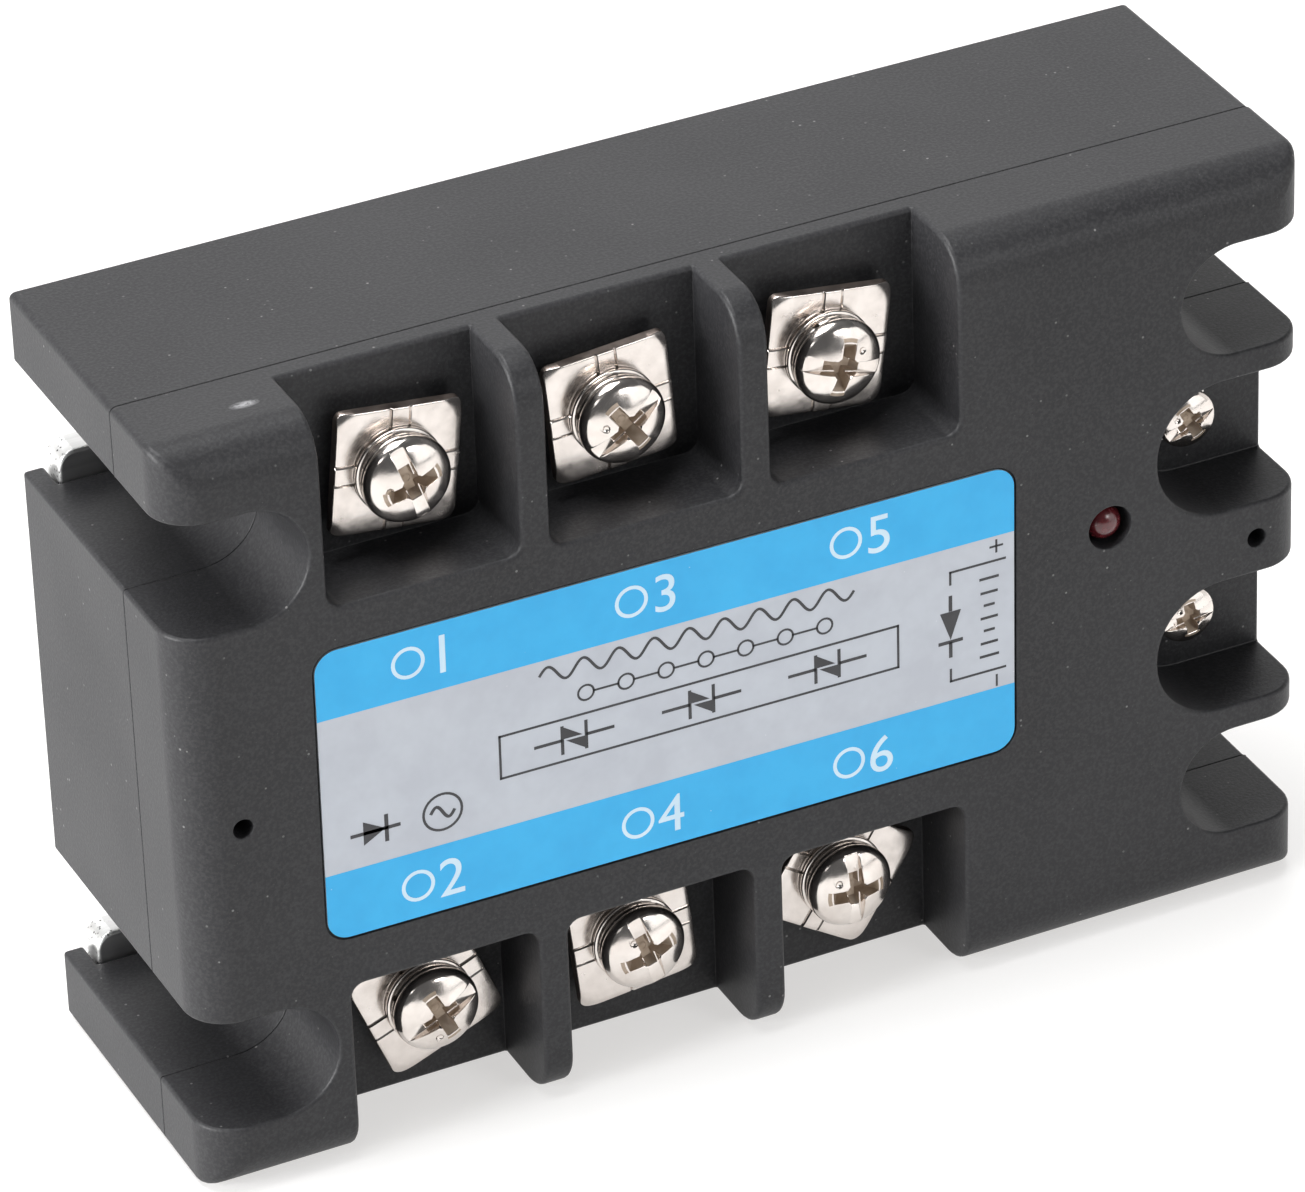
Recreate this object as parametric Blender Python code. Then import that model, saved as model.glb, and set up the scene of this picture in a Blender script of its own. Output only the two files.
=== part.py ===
"""Three-phase solid state relay, built as an assembly.

The relay stands on its long edge, as it hangs in a cabinet: X runs along its length, the front face
looks along -Y, the metal base plate closes the back at +Y and Z is up. The origin is the middle of
the footprint, on the surface it stands on. Sizes below are in millimetres, measured from the left
end (x), from the front face (y) and from the bottom (z).
"""
import math

import bmesh
import bpy
from mathutils import Matrix, Vector

# ---------------------------------------------------------------- driving dimensions, millimetres
LENGTH = 105.0
HEIGHT = 72.0
DEPTH = 32.0
MM = 0.001

COVER_DEPTH = 10.4          # the front cover, up to the seam
SEAM_GAP = 0.1
FRONT_FILLET = 3.8          # the rounded edges of the front face
CORNER_RADIUS = 0.6         # the four corners seen from the front
REAR_INSET = 0.15           # the rear housing is a little shorter than the cover
WALL = 2.2

SLOT_RADIUS = 5.3           # mounting slots, plastic
SLOT_CENTRE_X = 7.0
SLOT_CENTRE_Z = 60.15
NOTCH_RADIUS = 2.7          # mounting slots, base plate (M5 clearance)

POCKETS_X = ((13.7, 31.0), (33.7, 51.2), (53.9, 71.5))
POCKET_Z = 54.5             # floor of the upper pockets; the lower row mirrors it
POCKET_DEPTH = 8.4
POCKET_CORNER = 1.3
POWER_X = (22.9, 42.35, 62.2)
POWER_Z = 62.1

RECESS_LEFT = 90.2          # the two input recesses at the right end
RECESS_Z = (39.5, 52.4)
RECESS_CORNER = 5.9
INPUT_X = 96.4
INPUT_Z = 45.85

LED_X, LED_Z = 85.7, 41.2
LED_HOLE_RADIUS = 1.8
PIN_X = (5.0, 100.0)        # holes for the pegs of a clip-on terminal guard
PIN_RADIUS = 0.9
PIN_DEPTH = 2.5

LABEL_X = (12.0, 76.4)
LABEL_Z = (22.3, 50.3)
LABEL_TILT = -0.45          # degrees
LABEL_THICK = 0.2
LABEL_RECESS = 0.35
LABEL_CORNER = 2.0

PLATE_INSET_X = 2.1
PLATE_INSET_Z = 1.9
PLATE_THICK = 3.0

POWER_PITCH = 0.7           # M4
POWER_TRAVEL = 3.5
INPUT_PITCH = 0.5           # M3
INPUT_TRAVEL = 2.5

# each terminal: number, x, z, turn of its clamp washer, turn of its screw, in degrees
POWER_TERMINALS = (
    ("1", POWER_X[0], POWER_Z, -6.5, -72.0),
    ("3", POWER_X[1], POWER_Z, 4.5, 35.0),
    ("5", POWER_X[2], POWER_Z, -7.5, -16.0),
    ("2", POWER_X[0], HEIGHT - POWER_Z, 22.0, 25.0),
    ("4", POWER_X[1], HEIGHT - POWER_Z, 6.0, -72.0),
    ("6", POWER_X[2], HEIGHT - POWER_Z, -33.0, -88.0),
)
INPUT_TERMINALS = (
    ("plus", INPUT_X, INPUT_Z, 13.0, 27.0),
    ("minus", INPUT_X, HEIGHT - INPUT_Z, 22.0, 8.0),
)

# ---------------------------------------------------------------- a clean scene
for old in list(bpy.data.objects):
    bpy.data.objects.remove(old, do_unlink=True)

RELAY = bpy.data.collections.new("solid_state_relay")
CUTTERS = bpy.data.collections.new("cutters")
bpy.context.scene.collection.children.link(RELAY)
bpy.context.scene.collection.children.link(CUTTERS)


# ---------------------------------------------------------------- helpers
def place(x, y, z):
    """A point given from the left end, front face and bottom, in the part's own frame."""
    return Vector((x - LENGTH / 2, y - DEPTH / 2, z)) * MM


def material(name, colour, roughness, metallic=0.0):
    made = bpy.data.materials.new(name)
    made.use_nodes = True
    shader = made.node_tree.nodes["Principled BSDF"]
    shader.inputs["Base Color"].default_value = (*colour, 1.0)
    shader.inputs["Roughness"].default_value = roughness
    shader.inputs["Metallic"].default_value = metallic
    made.diffuse_color = (*colour, 1.0)
    return made


def new_object(name, mesh, paint=None, collection=None):
    made = bpy.data.objects.new(name, mesh)
    (collection or RELAY).objects.link(made)
    if paint is not None:
        mesh.materials.append(paint)
    return made


def mesh_from(bm, name):
    bmesh.ops.recalc_face_normals(bm, faces=bm.faces)
    mesh = bpy.data.meshes.new(name)
    bm.to_mesh(mesh)
    bm.free()
    return mesh


def box_mesh(name, low, high, round_edges=0.0, segments=2):
    """A box between two corners, in the part's frame, with all its edges rounded on request."""
    low, high = place(*low), place(*high)
    bm = bmesh.new()
    bmesh.ops.create_cube(bm, size=1.0)
    size = high - low
    bmesh.ops.scale(bm, vec=size, verts=bm.verts)
    bmesh.ops.translate(bm, vec=(low + high) / 2, verts=bm.verts)
    if round_edges:
        bmesh.ops.bevel(
            bm,
            geom=bm.edges[:],
            offset=round_edges * MM,
            segments=segments,
            profile=0.5,
            affect="EDGES",
        )
    return mesh_from(bm, name)


def cylinder_mesh(name, radius, y_from, y_to, sides, x=0.0, z=0.0):
    """A round bar along Y. x, y and z are in millimetres, in the mesh's own frame."""
    bm = bmesh.new()
    turn = Matrix.Rotation(math.pi / 2, 4, "X")
    middle = Matrix.Translation(Vector((x, (y_from + y_to) / 2, z)) * MM)
    bmesh.ops.create_cone(
        bm,
        cap_ends=True,
        segments=sides,
        radius1=radius * MM,
        radius2=radius * MM,
        depth=abs(y_to - y_from) * MM,
        matrix=middle @ turn,
    )
    return mesh_from(bm, name)


PLANES = {
    # how a flat outline's own x, y and thickness lie in the part
    "XZ": Matrix(((1, 0, 0, 0), (0, 0, -1, 0), (0, 1, 0, 0), (0, 0, 0, 1))),
    "YZ": Matrix(((0, 0, 1, 0), (1, 0, 0, 0), (0, 1, 0, 0), (0, 0, 0, 1))),
    "XY": Matrix.Identity(4),
}


def outline_mesh(name, points, thickness, plane):
    """A flat outline in millimetres, filled and given a thickness about its own plane."""
    curve = bpy.data.curves.new(name, "CURVE")
    curve.dimensions = "2D"
    curve.fill_mode = "BOTH"
    curve.extrude = thickness / 2 * MM
    spline = curve.splines.new("POLY")
    spline.points.add(len(points) - 1)
    for point, (u, v) in zip(spline.points, points):
        point.co = (u * MM, v * MM, 0.0, 1.0)
    spline.use_cyclic_u = True
    guide = bpy.data.objects.new(name + "_outline", curve)
    CUTTERS.objects.link(guide)
    view = bpy.context.evaluated_depsgraph_get()
    view.update()
    mesh = bpy.data.meshes.new_from_object(guide.evaluated_get(view))
    bpy.data.objects.remove(guide, do_unlink=True)
    bm = bmesh.new()
    bm.from_mesh(mesh)
    bmesh.ops.remove_doubles(bm, verts=bm.verts, dist=1e-6)
    bmesh.ops.transform(bm, matrix=PLANES[plane], verts=bm.verts)
    bpy.data.meshes.remove(mesh)
    return mesh_from(bm, name)


def arc(cx, cy, radius, start, end, steps):
    """Points on an arc, angles in degrees."""
    angles = (math.radians(start + (end - start) * i / steps) for i in range(steps + 1))
    return [(cx + radius * math.cos(a), cy + radius * math.sin(a)) for a in angles]


def rounded_rectangle(x0, x1, z0, z1, radius, steps):
    points = arc(x1 - radius, z1 - radius, radius, 0, 90, steps)
    points += arc(x0 + radius, z1 - radius, radius, 90, 180, steps)
    points += arc(x0 + radius, z0 + radius, radius, 180, 270, steps)
    points += arc(x1 - radius, z0 + radius, radius, 270, 360, steps)
    return points


def mirrored(points, across):
    """The same outline mirrored in the line v = across."""
    return [(u, 2 * across - v) for u, v in reversed(points)]


def flipped(points, across):
    """The same outline mirrored in the line u = across."""
    return [(2 * across - u, v) for u, v in reversed(points)]


def through(name, points, y_from, y_to):
    """A cutter: an outline seen from the front, run from one depth to another."""
    mesh = outline_mesh(name, points, y_to - y_from, "XZ")
    made = new_object(name, mesh, collection=CUTTERS)
    made.location = place(0.0, (y_from + y_to) / 2, 0.0)
    hide_tool(made)
    return made


def box_tool(name, low, high):
    made = new_object(name, box_mesh(name, low, high), collection=CUTTERS)
    hide_tool(made)
    return made


def round_tool(name, x, z, radius, y_from, y_to, sides=20):
    made = new_object(name, cylinder_mesh(name, radius, y_from, y_to, sides), collection=CUTTERS)
    made.location = place(x, 0.0, z)
    hide_tool(made)
    return made


def hide_tool(tool):
    tool.hide_render = True
    tool.display_type = "WIRE"


def boolean(target, tool, operation="DIFFERENCE"):
    step = target.modifiers.new(tool.name, "BOOLEAN")
    step.operation = operation
    step.solver = "EXACT"
    step.object = tool


def smooth(target, angle=35.0):
    target.data.shade_smooth()
    target.data.set_sharp_from_angle(angle=math.radians(angle))


# ---------------------------------------------------------------- materials
BLACK_PLASTIC = material("black_moulded_plastic", (0.045, 0.045, 0.048), 0.55)
BARE_ALUMINIUM = material("bare_aluminium", (0.72, 0.72, 0.73), 0.35, 1.0)
LABEL_FILM = material("label_film", (0.62, 0.66, 0.72), 0.35)
RED_RESIN = material("red_led_resin", (0.30, 0.01, 0.015), 0.12)
BOARD_GREEN = material("board_laminate", (0.03, 0.16, 0.06), 0.45)
NICKEL = material("nickel_plated_steel", (0.78, 0.76, 0.73), 0.2, 1.0)
SPRING_STEEL = material("plated_spring_steel", (0.60, 0.58, 0.56), 0.3, 1.0)
TINNED_COPPER = material("tinned_copper", (0.74, 0.73, 0.71), 0.3, 1.0)
BRASS = material("brass", (0.72, 0.55, 0.27), 0.3, 1.0)
CERAMIC = material("white_ceramic", (0.85, 0.85, 0.82), 0.4)
CHIP_BLACK = material("chip_resin", (0.03, 0.03, 0.03), 0.5)
CAPACITOR_FILM = material("capacitor_case", (0.55, 0.30, 0.05), 0.4)
RESISTOR_BODY = material("resistor_coat", (0.42, 0.50, 0.55), 0.45)


# ---------------------------------------------------------------- outlines shared by the shells
def slot_outline(radius, steps):
    """The upper left mounting slot: open to the left, round at its inner end."""
    edge = -3.0
    return (
        [(edge, SLOT_CENTRE_Z + radius), (edge, SLOT_CENTRE_Z - radius)]
        + arc(SLOT_CENTRE_X, SLOT_CENTRE_Z, radius, -90, 90, steps)
    )


def four_slots(radius, steps):
    upper_left = slot_outline(radius, steps)
    upper_right = flipped(upper_left, LENGTH / 2)
    lower_left = mirrored(upper_left, HEIGHT / 2)
    lower_right = flipped(lower_left, LENGTH / 2)
    return upper_left, upper_right, lower_left, lower_right


def pocket_outline(x0, x1):
    """An upper terminal pocket: open at the top, with rounded lower corners."""
    top = HEIGHT + 2.0
    points = [(x1, top), (x0, top)]
    points += arc(x0 + POCKET_CORNER, POCKET_Z + POCKET_CORNER, POCKET_CORNER, 180, 270, 2)
    points += arc(x1 - POCKET_CORNER, POCKET_Z + POCKET_CORNER, POCKET_CORNER, 270, 360, 2)
    return points


def recess_outline():
    """The upper input recess: open to the right, with two large round corners."""
    right = LENGTH + 2.0
    low, high = RECESS_Z
    middle = RECESS_LEFT + RECESS_CORNER
    points = [(right, low), (right, high)]
    points += arc(middle, high - RECESS_CORNER, RECESS_CORNER, 90, 180, 5)
    points += arc(middle, low + RECESS_CORNER, RECESS_CORNER, 180, 270, 5)
    return points


# ---------------------------------------------------------------- front cover
def lofted_cover(name):
    """The cover's outside: rounded outlines joined from the seam forward over the front fillet."""
    fillet_steps = 4
    sections = [(COVER_DEPTH, 0.0)]
    for i in range(fillet_steps + 1):
        angle = math.pi / 2 * i / fillet_steps
        depth = FRONT_FILLET * (1 - math.sin(angle))
        sections.append((depth, FRONT_FILLET * (1 - math.cos(angle))))
    bm = bmesh.new()
    loops = []
    for depth, inset in sections:
        radius = CORNER_RADIUS + 0.2 * inset
        points = rounded_rectangle(inset, LENGTH - inset, inset, HEIGHT - inset, radius, 3)
        ring = [bm.verts.new(place(x, depth, z)) for x, z in points]
        loops.append([bm.edges.new((ring[i - 1], ring[i])) for i in range(len(ring))])
    for near, far in zip(loops, loops[1:]):
        bmesh.ops.bridge_loops(bm, edges=near + far)
    bmesh.ops.contextual_create(bm, geom=loops[0])
    bmesh.ops.contextual_create(bm, geom=loops[-1])
    return mesh_from(bm, name)


cover = new_object("front_cover", lofted_cover("front_cover"), BLACK_PLASTIC)

for i, points in enumerate(four_slots(SLOT_RADIUS, 8)):
    boolean(cover, through(f"cover_slot_{i}", points, -1.0, COVER_DEPTH + 1))
for i, (x0, x1) in enumerate(POCKETS_X):
    upper = pocket_outline(x0, x1)
    boolean(cover, through(f"pocket_upper_{i}", upper, -1.0, POCKET_DEPTH))
    boolean(cover, through(f"pocket_lower_{i}", mirrored(upper, HEIGHT / 2), -1.0, POCKET_DEPTH))
boolean(cover, through("recess_upper", recess_outline(), -1.0, POCKET_DEPTH))
boolean(cover, through("recess_lower", mirrored(recess_outline(), HEIGHT / 2), -1.0, POCKET_DEPTH))

CAVITY_X = (8.5, 88.0)
CAVITY_Z = (20.0, 52.0)
boolean(
    cover,
    box_tool(
        "cover_cavity",
        (CAVITY_X[0], WALL, CAVITY_Z[0]),
        (CAVITY_X[1], COVER_DEPTH + 1, CAVITY_Z[1]),
    ),
)
boolean(cover, round_tool("led_hole", LED_X, LED_Z, LED_HOLE_RADIUS, -1.0, WALL + 1))
for x in PIN_X:
    boolean(cover, round_tool(f"pin_hole_{x:.0f}", x, HEIGHT / 2, PIN_RADIUS, -1.0, PIN_DEPTH, 14))

label_middle = ((LABEL_X[0] + LABEL_X[1]) / 2, (LABEL_Z[0] + LABEL_Z[1]) / 2)
label_half = ((LABEL_X[1] - LABEL_X[0]) / 2, (LABEL_Z[1] - LABEL_Z[0]) / 2)


def label_outline(grow):
    a, b = label_half[0] + grow, label_half[1] + grow
    return rounded_rectangle(-a, a, -b, b, LABEL_CORNER + grow, 3)


label_seat = outline_mesh("label_seat", label_outline(0.3), 1.0 + LABEL_RECESS, "XZ")
label_seat = new_object("label_seat", label_seat, collection=CUTTERS)
label_seat.location = place(label_middle[0], (LABEL_RECESS - 1.0) / 2, label_middle[1])
label_seat.rotation_euler.y = -math.radians(LABEL_TILT)
hide_tool(label_seat)
boolean(cover, label_seat)

# windows in the pocket backs: one for the nut, one below it for the terminal strip
NUT_SIZE = 7.0
STRIP_HALF = 4.0
STRIP_FROM, STRIP_TO = -4.6, -3.7       # below the screw's centre
for number, x, z, _, _ in POWER_TERMINALS:
    up = 1 if z > HEIGHT / 2 else -1
    half = NUT_SIZE / 2 + 0.25
    low_z, high_z = sorted((z - up * 3.6, z + up * half))
    boolean(
        cover,
        box_tool(
            f"nut_window_{number}",
            (x - half, POCKET_DEPTH - 1, low_z),
            (x + half, COVER_DEPTH + 1, high_z),
        ),
    )
    low_z, high_z = sorted((z + up * (STRIP_FROM - 0.25), z + up * (STRIP_TO + 0.2)))
    boolean(
        cover,
        box_tool(
            f"strip_window_{number}",
            (x - STRIP_HALF - 0.25, POCKET_DEPTH - 1, low_z),
            (x + STRIP_HALF + 0.25, COVER_DEPTH + 1, high_z),
        ),
    )

INPUT_NUT = 5.5
INPUT_STRIP_HALF = 2.4
INPUT_LEG = (92.3, 93.1)
for number, x, z, _, _ in INPUT_TERMINALS:
    half = INPUT_NUT / 2 + 0.25
    boolean(
        cover,
        box_tool(
            f"input_nut_window_{number}",
            (x - half, POCKET_DEPTH - 1, z - half),
            (x + half, COVER_DEPTH + 1, z + half),
        ),
    )
    boolean(
        cover,
        box_tool(
            f"input_strip_window_{number}",
            (INPUT_LEG[0] - 0.25, POCKET_DEPTH - 1, z - INPUT_STRIP_HALF - 0.25),
            (INPUT_LEG[1] + 0.25, COVER_DEPTH + 1, z + INPUT_STRIP_HALF + 0.25),
        ),
    )

BOARD_FRONT = 8.0
BOARD_THICK = 1.6
BOARD_X = (14.5, 87.7)
BOARD_Z = (20.4, 51.6)
POSTS = ((17.5, 23.0), (17.5, 49.0), (79.5, 23.0), (79.5, 49.0))
for i, (x, z) in enumerate(POSTS):
    boolean(cover, round_tool(f"board_post_{i}", x, z, 1.6, WALL - 1, BOARD_FRONT - 0.1, 10), "UNION")
smooth(cover)

# ---------------------------------------------------------------- rear housing
REAR_FROM = COVER_DEPTH + SEAM_GAP
rear_mesh = outline_mesh(
    "rear_housing",
    rounded_rectangle(REAR_INSET, LENGTH - REAR_INSET, 0.0, HEIGHT, CORNER_RADIUS, 3),
    DEPTH - REAR_FROM,
    "XZ",
)
rear = new_object("rear_housing", rear_mesh, BLACK_PLASTIC)
rear.location = place(0.0, (REAR_FROM + DEPTH) / 2, 0.0)

for i, points in enumerate(four_slots(SLOT_RADIUS, 8)):
    boolean(rear, through(f"rear_slot_{i}", points, REAR_FROM - 1, DEPTH + 1))
PLATE_FROM = DEPTH - PLATE_THICK
boolean(rear, box_tool("cavity_main", (14.6, REAR_FROM - 1, 3.0), (90.4, DEPTH - 1, HEIGHT - 3.0)))
boolean(rear, box_tool("cavity_left", (3.2, REAR_FROM - 1, 19.6), (15.6, DEPTH - 1, 52.4)))
boolean(rear, box_tool("cavity_right", (89.4, REAR_FROM - 1, 19.6), (101.8, DEPTH - 1, 52.4)))
boolean(
    rear,
    box_tool(
        "plate_seat",
        (PLATE_INSET_X - 0.2, PLATE_FROM - 0.15, PLATE_INSET_Z - 0.2),
        (LENGTH - PLATE_INSET_X + 0.2, DEPTH + 1, HEIGHT - PLATE_INSET_Z + 0.2),
    ),
)
smooth(rear)


# ---------------------------------------------------------------- base plate
def plate_outline():
    """The metal base, with a notch at each mounting slot and softened notch mouths."""
    left, low = PLATE_INSET_X, PLATE_INSET_Z
    corner, mouth = 1.0, 1.5
    notch = arc(left + mouth, SLOT_CENTRE_Z + NOTCH_RADIUS + mouth, mouth, 180, 270, 3)
    notch += arc(SLOT_CENTRE_X, SLOT_CENTRE_Z, NOTCH_RADIUS, 90, -90, 8)
    notch += arc(left + mouth, SLOT_CENTRE_Z - NOTCH_RADIUS - mouth, mouth, 90, 180, 3)
    upper_left = arc(left + corner, HEIGHT - low - corner, corner, 90, 180, 3) + notch
    left_side = upper_left + mirrored(upper_left, HEIGHT / 2)
    return left_side + flipped(left_side, LENGTH / 2)


plate_mesh = outline_mesh("base_plate", plate_outline(), PLATE_THICK, "XZ")
plate = new_object("base_plate", plate_mesh, BARE_ALUMINIUM)
plate.location = place(0.0, PLATE_FROM + PLATE_THICK / 2, 0.0)
smooth(plate)

# ---------------------------------------------------------------- label
label_mesh = outline_mesh("label", label_outline(0.0), LABEL_THICK, "XZ")
label = new_object("label", label_mesh, LABEL_FILM)
label.location = place(label_middle[0], 0.05 + LABEL_THICK / 2, label_middle[1])
label.rotation_euler.y = -math.radians(LABEL_TILT)


# ---------------------------------------------------------------- turned pieces
def turned(name, profile, sides):
    """A profile of (radius, depth) in millimetres, turned about the Y axis.

    The profile starts and ends on the axis and its depth grows from front to back.
    """
    bm = bmesh.new()
    verts = [bm.verts.new((r * MM, y * MM, 0.0)) for r, y in profile]
    edges = [bm.edges.new(pair) for pair in zip(verts, verts[1:])]
    bmesh.ops.spin(
        bm,
        geom=verts + edges,
        cent=(0, 0, 0),
        axis=(0, 1, 0),
        angle=2 * math.pi,
        steps=sides,
    )
    bmesh.ops.remove_doubles(bm, verts=bm.verts, dist=2e-6)
    return mesh_from(bm, name)


def local_box(name, half_x, half_z, y_from, y_to):
    """A box about the Y axis of its own frame, as a cutter for a screw's recess."""
    bm = bmesh.new()
    bmesh.ops.create_cube(bm, size=1.0)
    bmesh.ops.scale(bm, vec=Vector((2 * half_x, y_to - y_from, 2 * half_z)) * MM, verts=bm.verts)
    bmesh.ops.translate(bm, vec=Vector((0, (y_from + y_to) / 2, 0)) * MM, verts=bm.verts)
    return mesh_from(bm, name)


def screw(name, x, z, head_y, turn, head_radius, head_height, shank_radius, shank_end, sides):
    """A pan-head screw with a slot and a cross recess, its origin on its axis at the head's face."""
    profile = [
        (0.0, 0.0),
        (head_radius * 0.62, 0.06),
        (head_radius * 0.84, 0.28),
        (head_radius * 0.96, 0.7),
        (head_radius, 1.15),
        (head_radius, head_height),
        (shank_radius, head_height),
        (shank_radius, shank_end - head_y - 0.5),
        (shank_radius - 0.4, shank_end - head_y),
        (0.0, shank_end - head_y),
    ]
    made = new_object(name, turned(name, profile, sides), NICKEL)
    made.location = place(x, head_y, z)
    made.rotation_euler.y = -math.radians(turn)
    size = head_radius / 3.9
    recesses = (
        ("slot", 3.3 * size, 0.55 * size, 0.85 * size),
        ("cross", 0.6 * size, 2.1 * size, 1.5 * size),
        ("cross_long", 2.1 * size, 0.6 * size, 1.5 * size),
    )
    for label_, half_x, half_z, deep in recesses:
        tool = local_box(f"{name}_{label_}", half_x, half_z, -1.0, deep)
        tool = new_object(f"{name}_{label_}", tool, collection=CUTTERS)
        tool.parent = made
        hide_tool(tool)
        boolean(made, tool)
    smooth(made)
    return made


def spring_washer(name, x, y, z, turn, inner, outer, thickness, rise):
    """A split ring of rectangular wire. Its origin is on the screw's axis."""
    bm = bmesh.new()
    corners = ((inner, 0.0), (outer, 0.0), (outer, thickness), (inner, thickness))
    face = bm.faces.new([bm.verts.new((r * MM, d * MM, 0.0)) for r, d in corners])
    steps = 20
    bmesh.ops.spin(
        bm,
        geom=[face],
        cent=(0, 0, 0),
        axis=(0, 1, 0),
        dvec=Vector((0, rise / steps * MM, 0)),
        angle=math.radians(346),
        steps=steps,
    )
    made = new_object(name, mesh_from(bm, name), SPRING_STEEL)
    made.location = place(x, y, z)
    made.rotation_euler.y = -math.radians(turn)
    smooth(made)
    return made


def clamp_washer(name, x, y, z, turn, size, thickness, hole, rib, rise):
    """A square clamp with softened corners and a raised rib at the middle of each side."""
    half = size / 2
    mesh = outline_mesh(name, rounded_rectangle(-half, half, -half, half, 0.12 * size, 3), thickness, "XZ")
    made = new_object(name, mesh, NICKEL)
    made.location = place(x, y + thickness / 2, z)
    made.rotation_euler.y = -math.radians(turn)
    for i, (a, b) in enumerate(((half - 0.05, rib / 2), (rib / 2, half - 0.05))):
        bar = local_box(f"{name}_rib_{i}", a, b, -thickness / 2 - rise, 0.0)
        bar = new_object(f"{name}_rib_{i}", bar, collection=CUTTERS)
        bar.parent = made
        hide_tool(bar)
        boolean(made, bar, "UNION")
    bore = cylinder_mesh(f"{name}_bore", hole, -thickness, thickness, 20)
    bore = new_object(f"{name}_bore", bore, collection=CUTTERS)
    bore.parent = made
    hide_tool(bore)
    boolean(made, bore)
    return made


def square_nut(name, x, y, z, size, thickness, hole):
    half = size / 2
    points = rounded_rectangle(-half, half, -half, half, 0.5, 1)
    made = new_object(name, outline_mesh(name, points, thickness, "XZ"), BRASS)
    made.location = place(x, y + thickness / 2, z)
    bore = cylinder_mesh(f"{name}_bore", hole, -thickness, thickness, 20)
    bore = new_object(f"{name}_bore", bore, collection=CUTTERS)
    bore.parent = made
    hide_tool(bore)
    boolean(made, bore)
    return made


# ---------------------------------------------------------------- power terminals
SCREW_FACE = 2.4
PAD_FROM, PAD_TO = 7.1, 8.1
STRIP_END = 27.3
FOOT_LENGTH = 9.5
for number, x, z, washer_turn, screw_turn in POWER_TERMINALS:
    up = 1 if z > HEIGHT / 2 else -1
    screw(f"terminal_screw_{number}", x, z, SCREW_FACE, screw_turn, 3.9, 2.1, 1.95, 13.0, 24)
    spring_washer(
        f"spring_washer_{number}", x, 4.55, z, screw_turn + 100, 2.2, 3.75, 0.8, 0.15
    )
    clamp_washer(f"clamp_washer_{number}", x, 5.95, z, washer_turn, 11.2, 1.05, 2.3, 1.5, 0.25)
    square_nut(f"terminal_nut_{number}", x, 8.4, z, NUT_SIZE, 2.2, 2.1)
    strip = [
        (PAD_FROM, z + up * 4.0),
        (PAD_TO, z + up * 4.0),
        (PAD_TO, z + up * STRIP_TO),
        (STRIP_END, z + up * STRIP_TO),
        (STRIP_END, z + up * (STRIP_FROM - FOOT_LENGTH)),
        (STRIP_END - 0.9, z + up * (STRIP_FROM - FOOT_LENGTH)),
        (STRIP_END - 0.9, z + up * STRIP_FROM),
        (PAD_FROM, z + up * STRIP_FROM),
    ]
    strip = [(y - DEPTH / 2, height) for y, height in strip]
    mesh = outline_mesh(f"busbar_{number}", strip, 2 * STRIP_HALF, "YZ")
    bar = new_object(f"busbar_{number}", mesh, TINNED_COPPER)
    bar.location = Vector(((x - LENGTH / 2) * MM, 0, 0))
    boolean(bar, round_tool(f"busbar_hole_{number}", x, z, 2.3, PAD_FROM - 1, PAD_TO + 1))

# ---------------------------------------------------------------- input terminals
for number, x, z, washer_turn, screw_turn in INPUT_TERMINALS:
    screw(f"input_screw_{number}", x, z, 4.9, screw_turn, 2.7, 1.5, 1.45, 12.3, 20)
    clamp_washer(f"input_clamp_washer_{number}", x, 6.7, z, washer_turn, 4.7, 0.65, 1.7, 1.0, 0.15)
    square_nut(f"input_nut_{number}", x, 8.4, z, INPUT_NUT, 1.8, 1.6)
    right, (leg_from, leg_to) = x + 2.45, INPUT_LEG
    strip = [
        (right, 7.45),
        (right, 8.2),
        (leg_to, 8.2),
        (leg_to, 12.6),
        (84.0, 12.6),
        (84.0, 9.9),
        (84.8, 9.9),
        (84.8, 11.8),
        (leg_from, 11.8),
        (leg_from, 7.45),
    ]
    strip = [(across - LENGTH / 2, y - DEPTH / 2) for across, y in strip]
    mesh = outline_mesh(f"input_terminal_{number}", strip, 2 * INPUT_STRIP_HALF, "XY")
    bar = new_object(f"input_terminal_{number}", mesh, TINNED_COPPER)
    bar.location = Vector((0, 0, z * MM))
    boolean(bar, round_tool(f"input_terminal_hole_{number}", x, z, 1.7, 6.5, 9.0, 16))


# ---------------------------------------------------------------- indicator and control board
def led_body(name):
    """A 3 mm round LED: a domed lens on a flange, facing the front."""
    top, flange = 0.15, 6.4
    radius = 1.5
    dome = [
        (radius * math.sin(math.radians(a)), radius * (1 - math.cos(math.radians(a))))
        for a in (0, 22.5, 45, 67.5, 90)
    ]
    profile = [(r, top + d) for r, d in dome]
    profile += [(radius, flange), (1.95, flange), (1.95, flange + 0.9), (0.0, flange + 0.9)]
    made = new_object(name, turned(name, profile, 20), RED_RESIN)
    made.location = place(LED_X, 0.0, LED_Z)
    return made


led = led_body("indicator_led")
LEAD_SPACING = 1.27
for i, offset in enumerate((-LEAD_SPACING, LEAD_SPACING)):
    lead = round_tool(f"led_lead_{i}", LED_X, LED_Z + offset, 0.25, 7.0, 10.6, 8)
    boolean(led, lead, "UNION")
smooth(led)

board_low = (BOARD_X[0], BOARD_FRONT, BOARD_Z[0])
board_high = (BOARD_X[1], BOARD_FRONT + BOARD_THICK, BOARD_Z[1])
board = new_object("control_board", box_mesh("control_board", board_low, board_high), BOARD_GREEN)
for i, offset in enumerate((-LEAD_SPACING, LEAD_SPACING)):
    hole = round_tool(f"led_lead_hole_{i}", LED_X, LED_Z + offset, 0.5, 7.0, 11.0, 10)
    boolean(board, hole)

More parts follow.
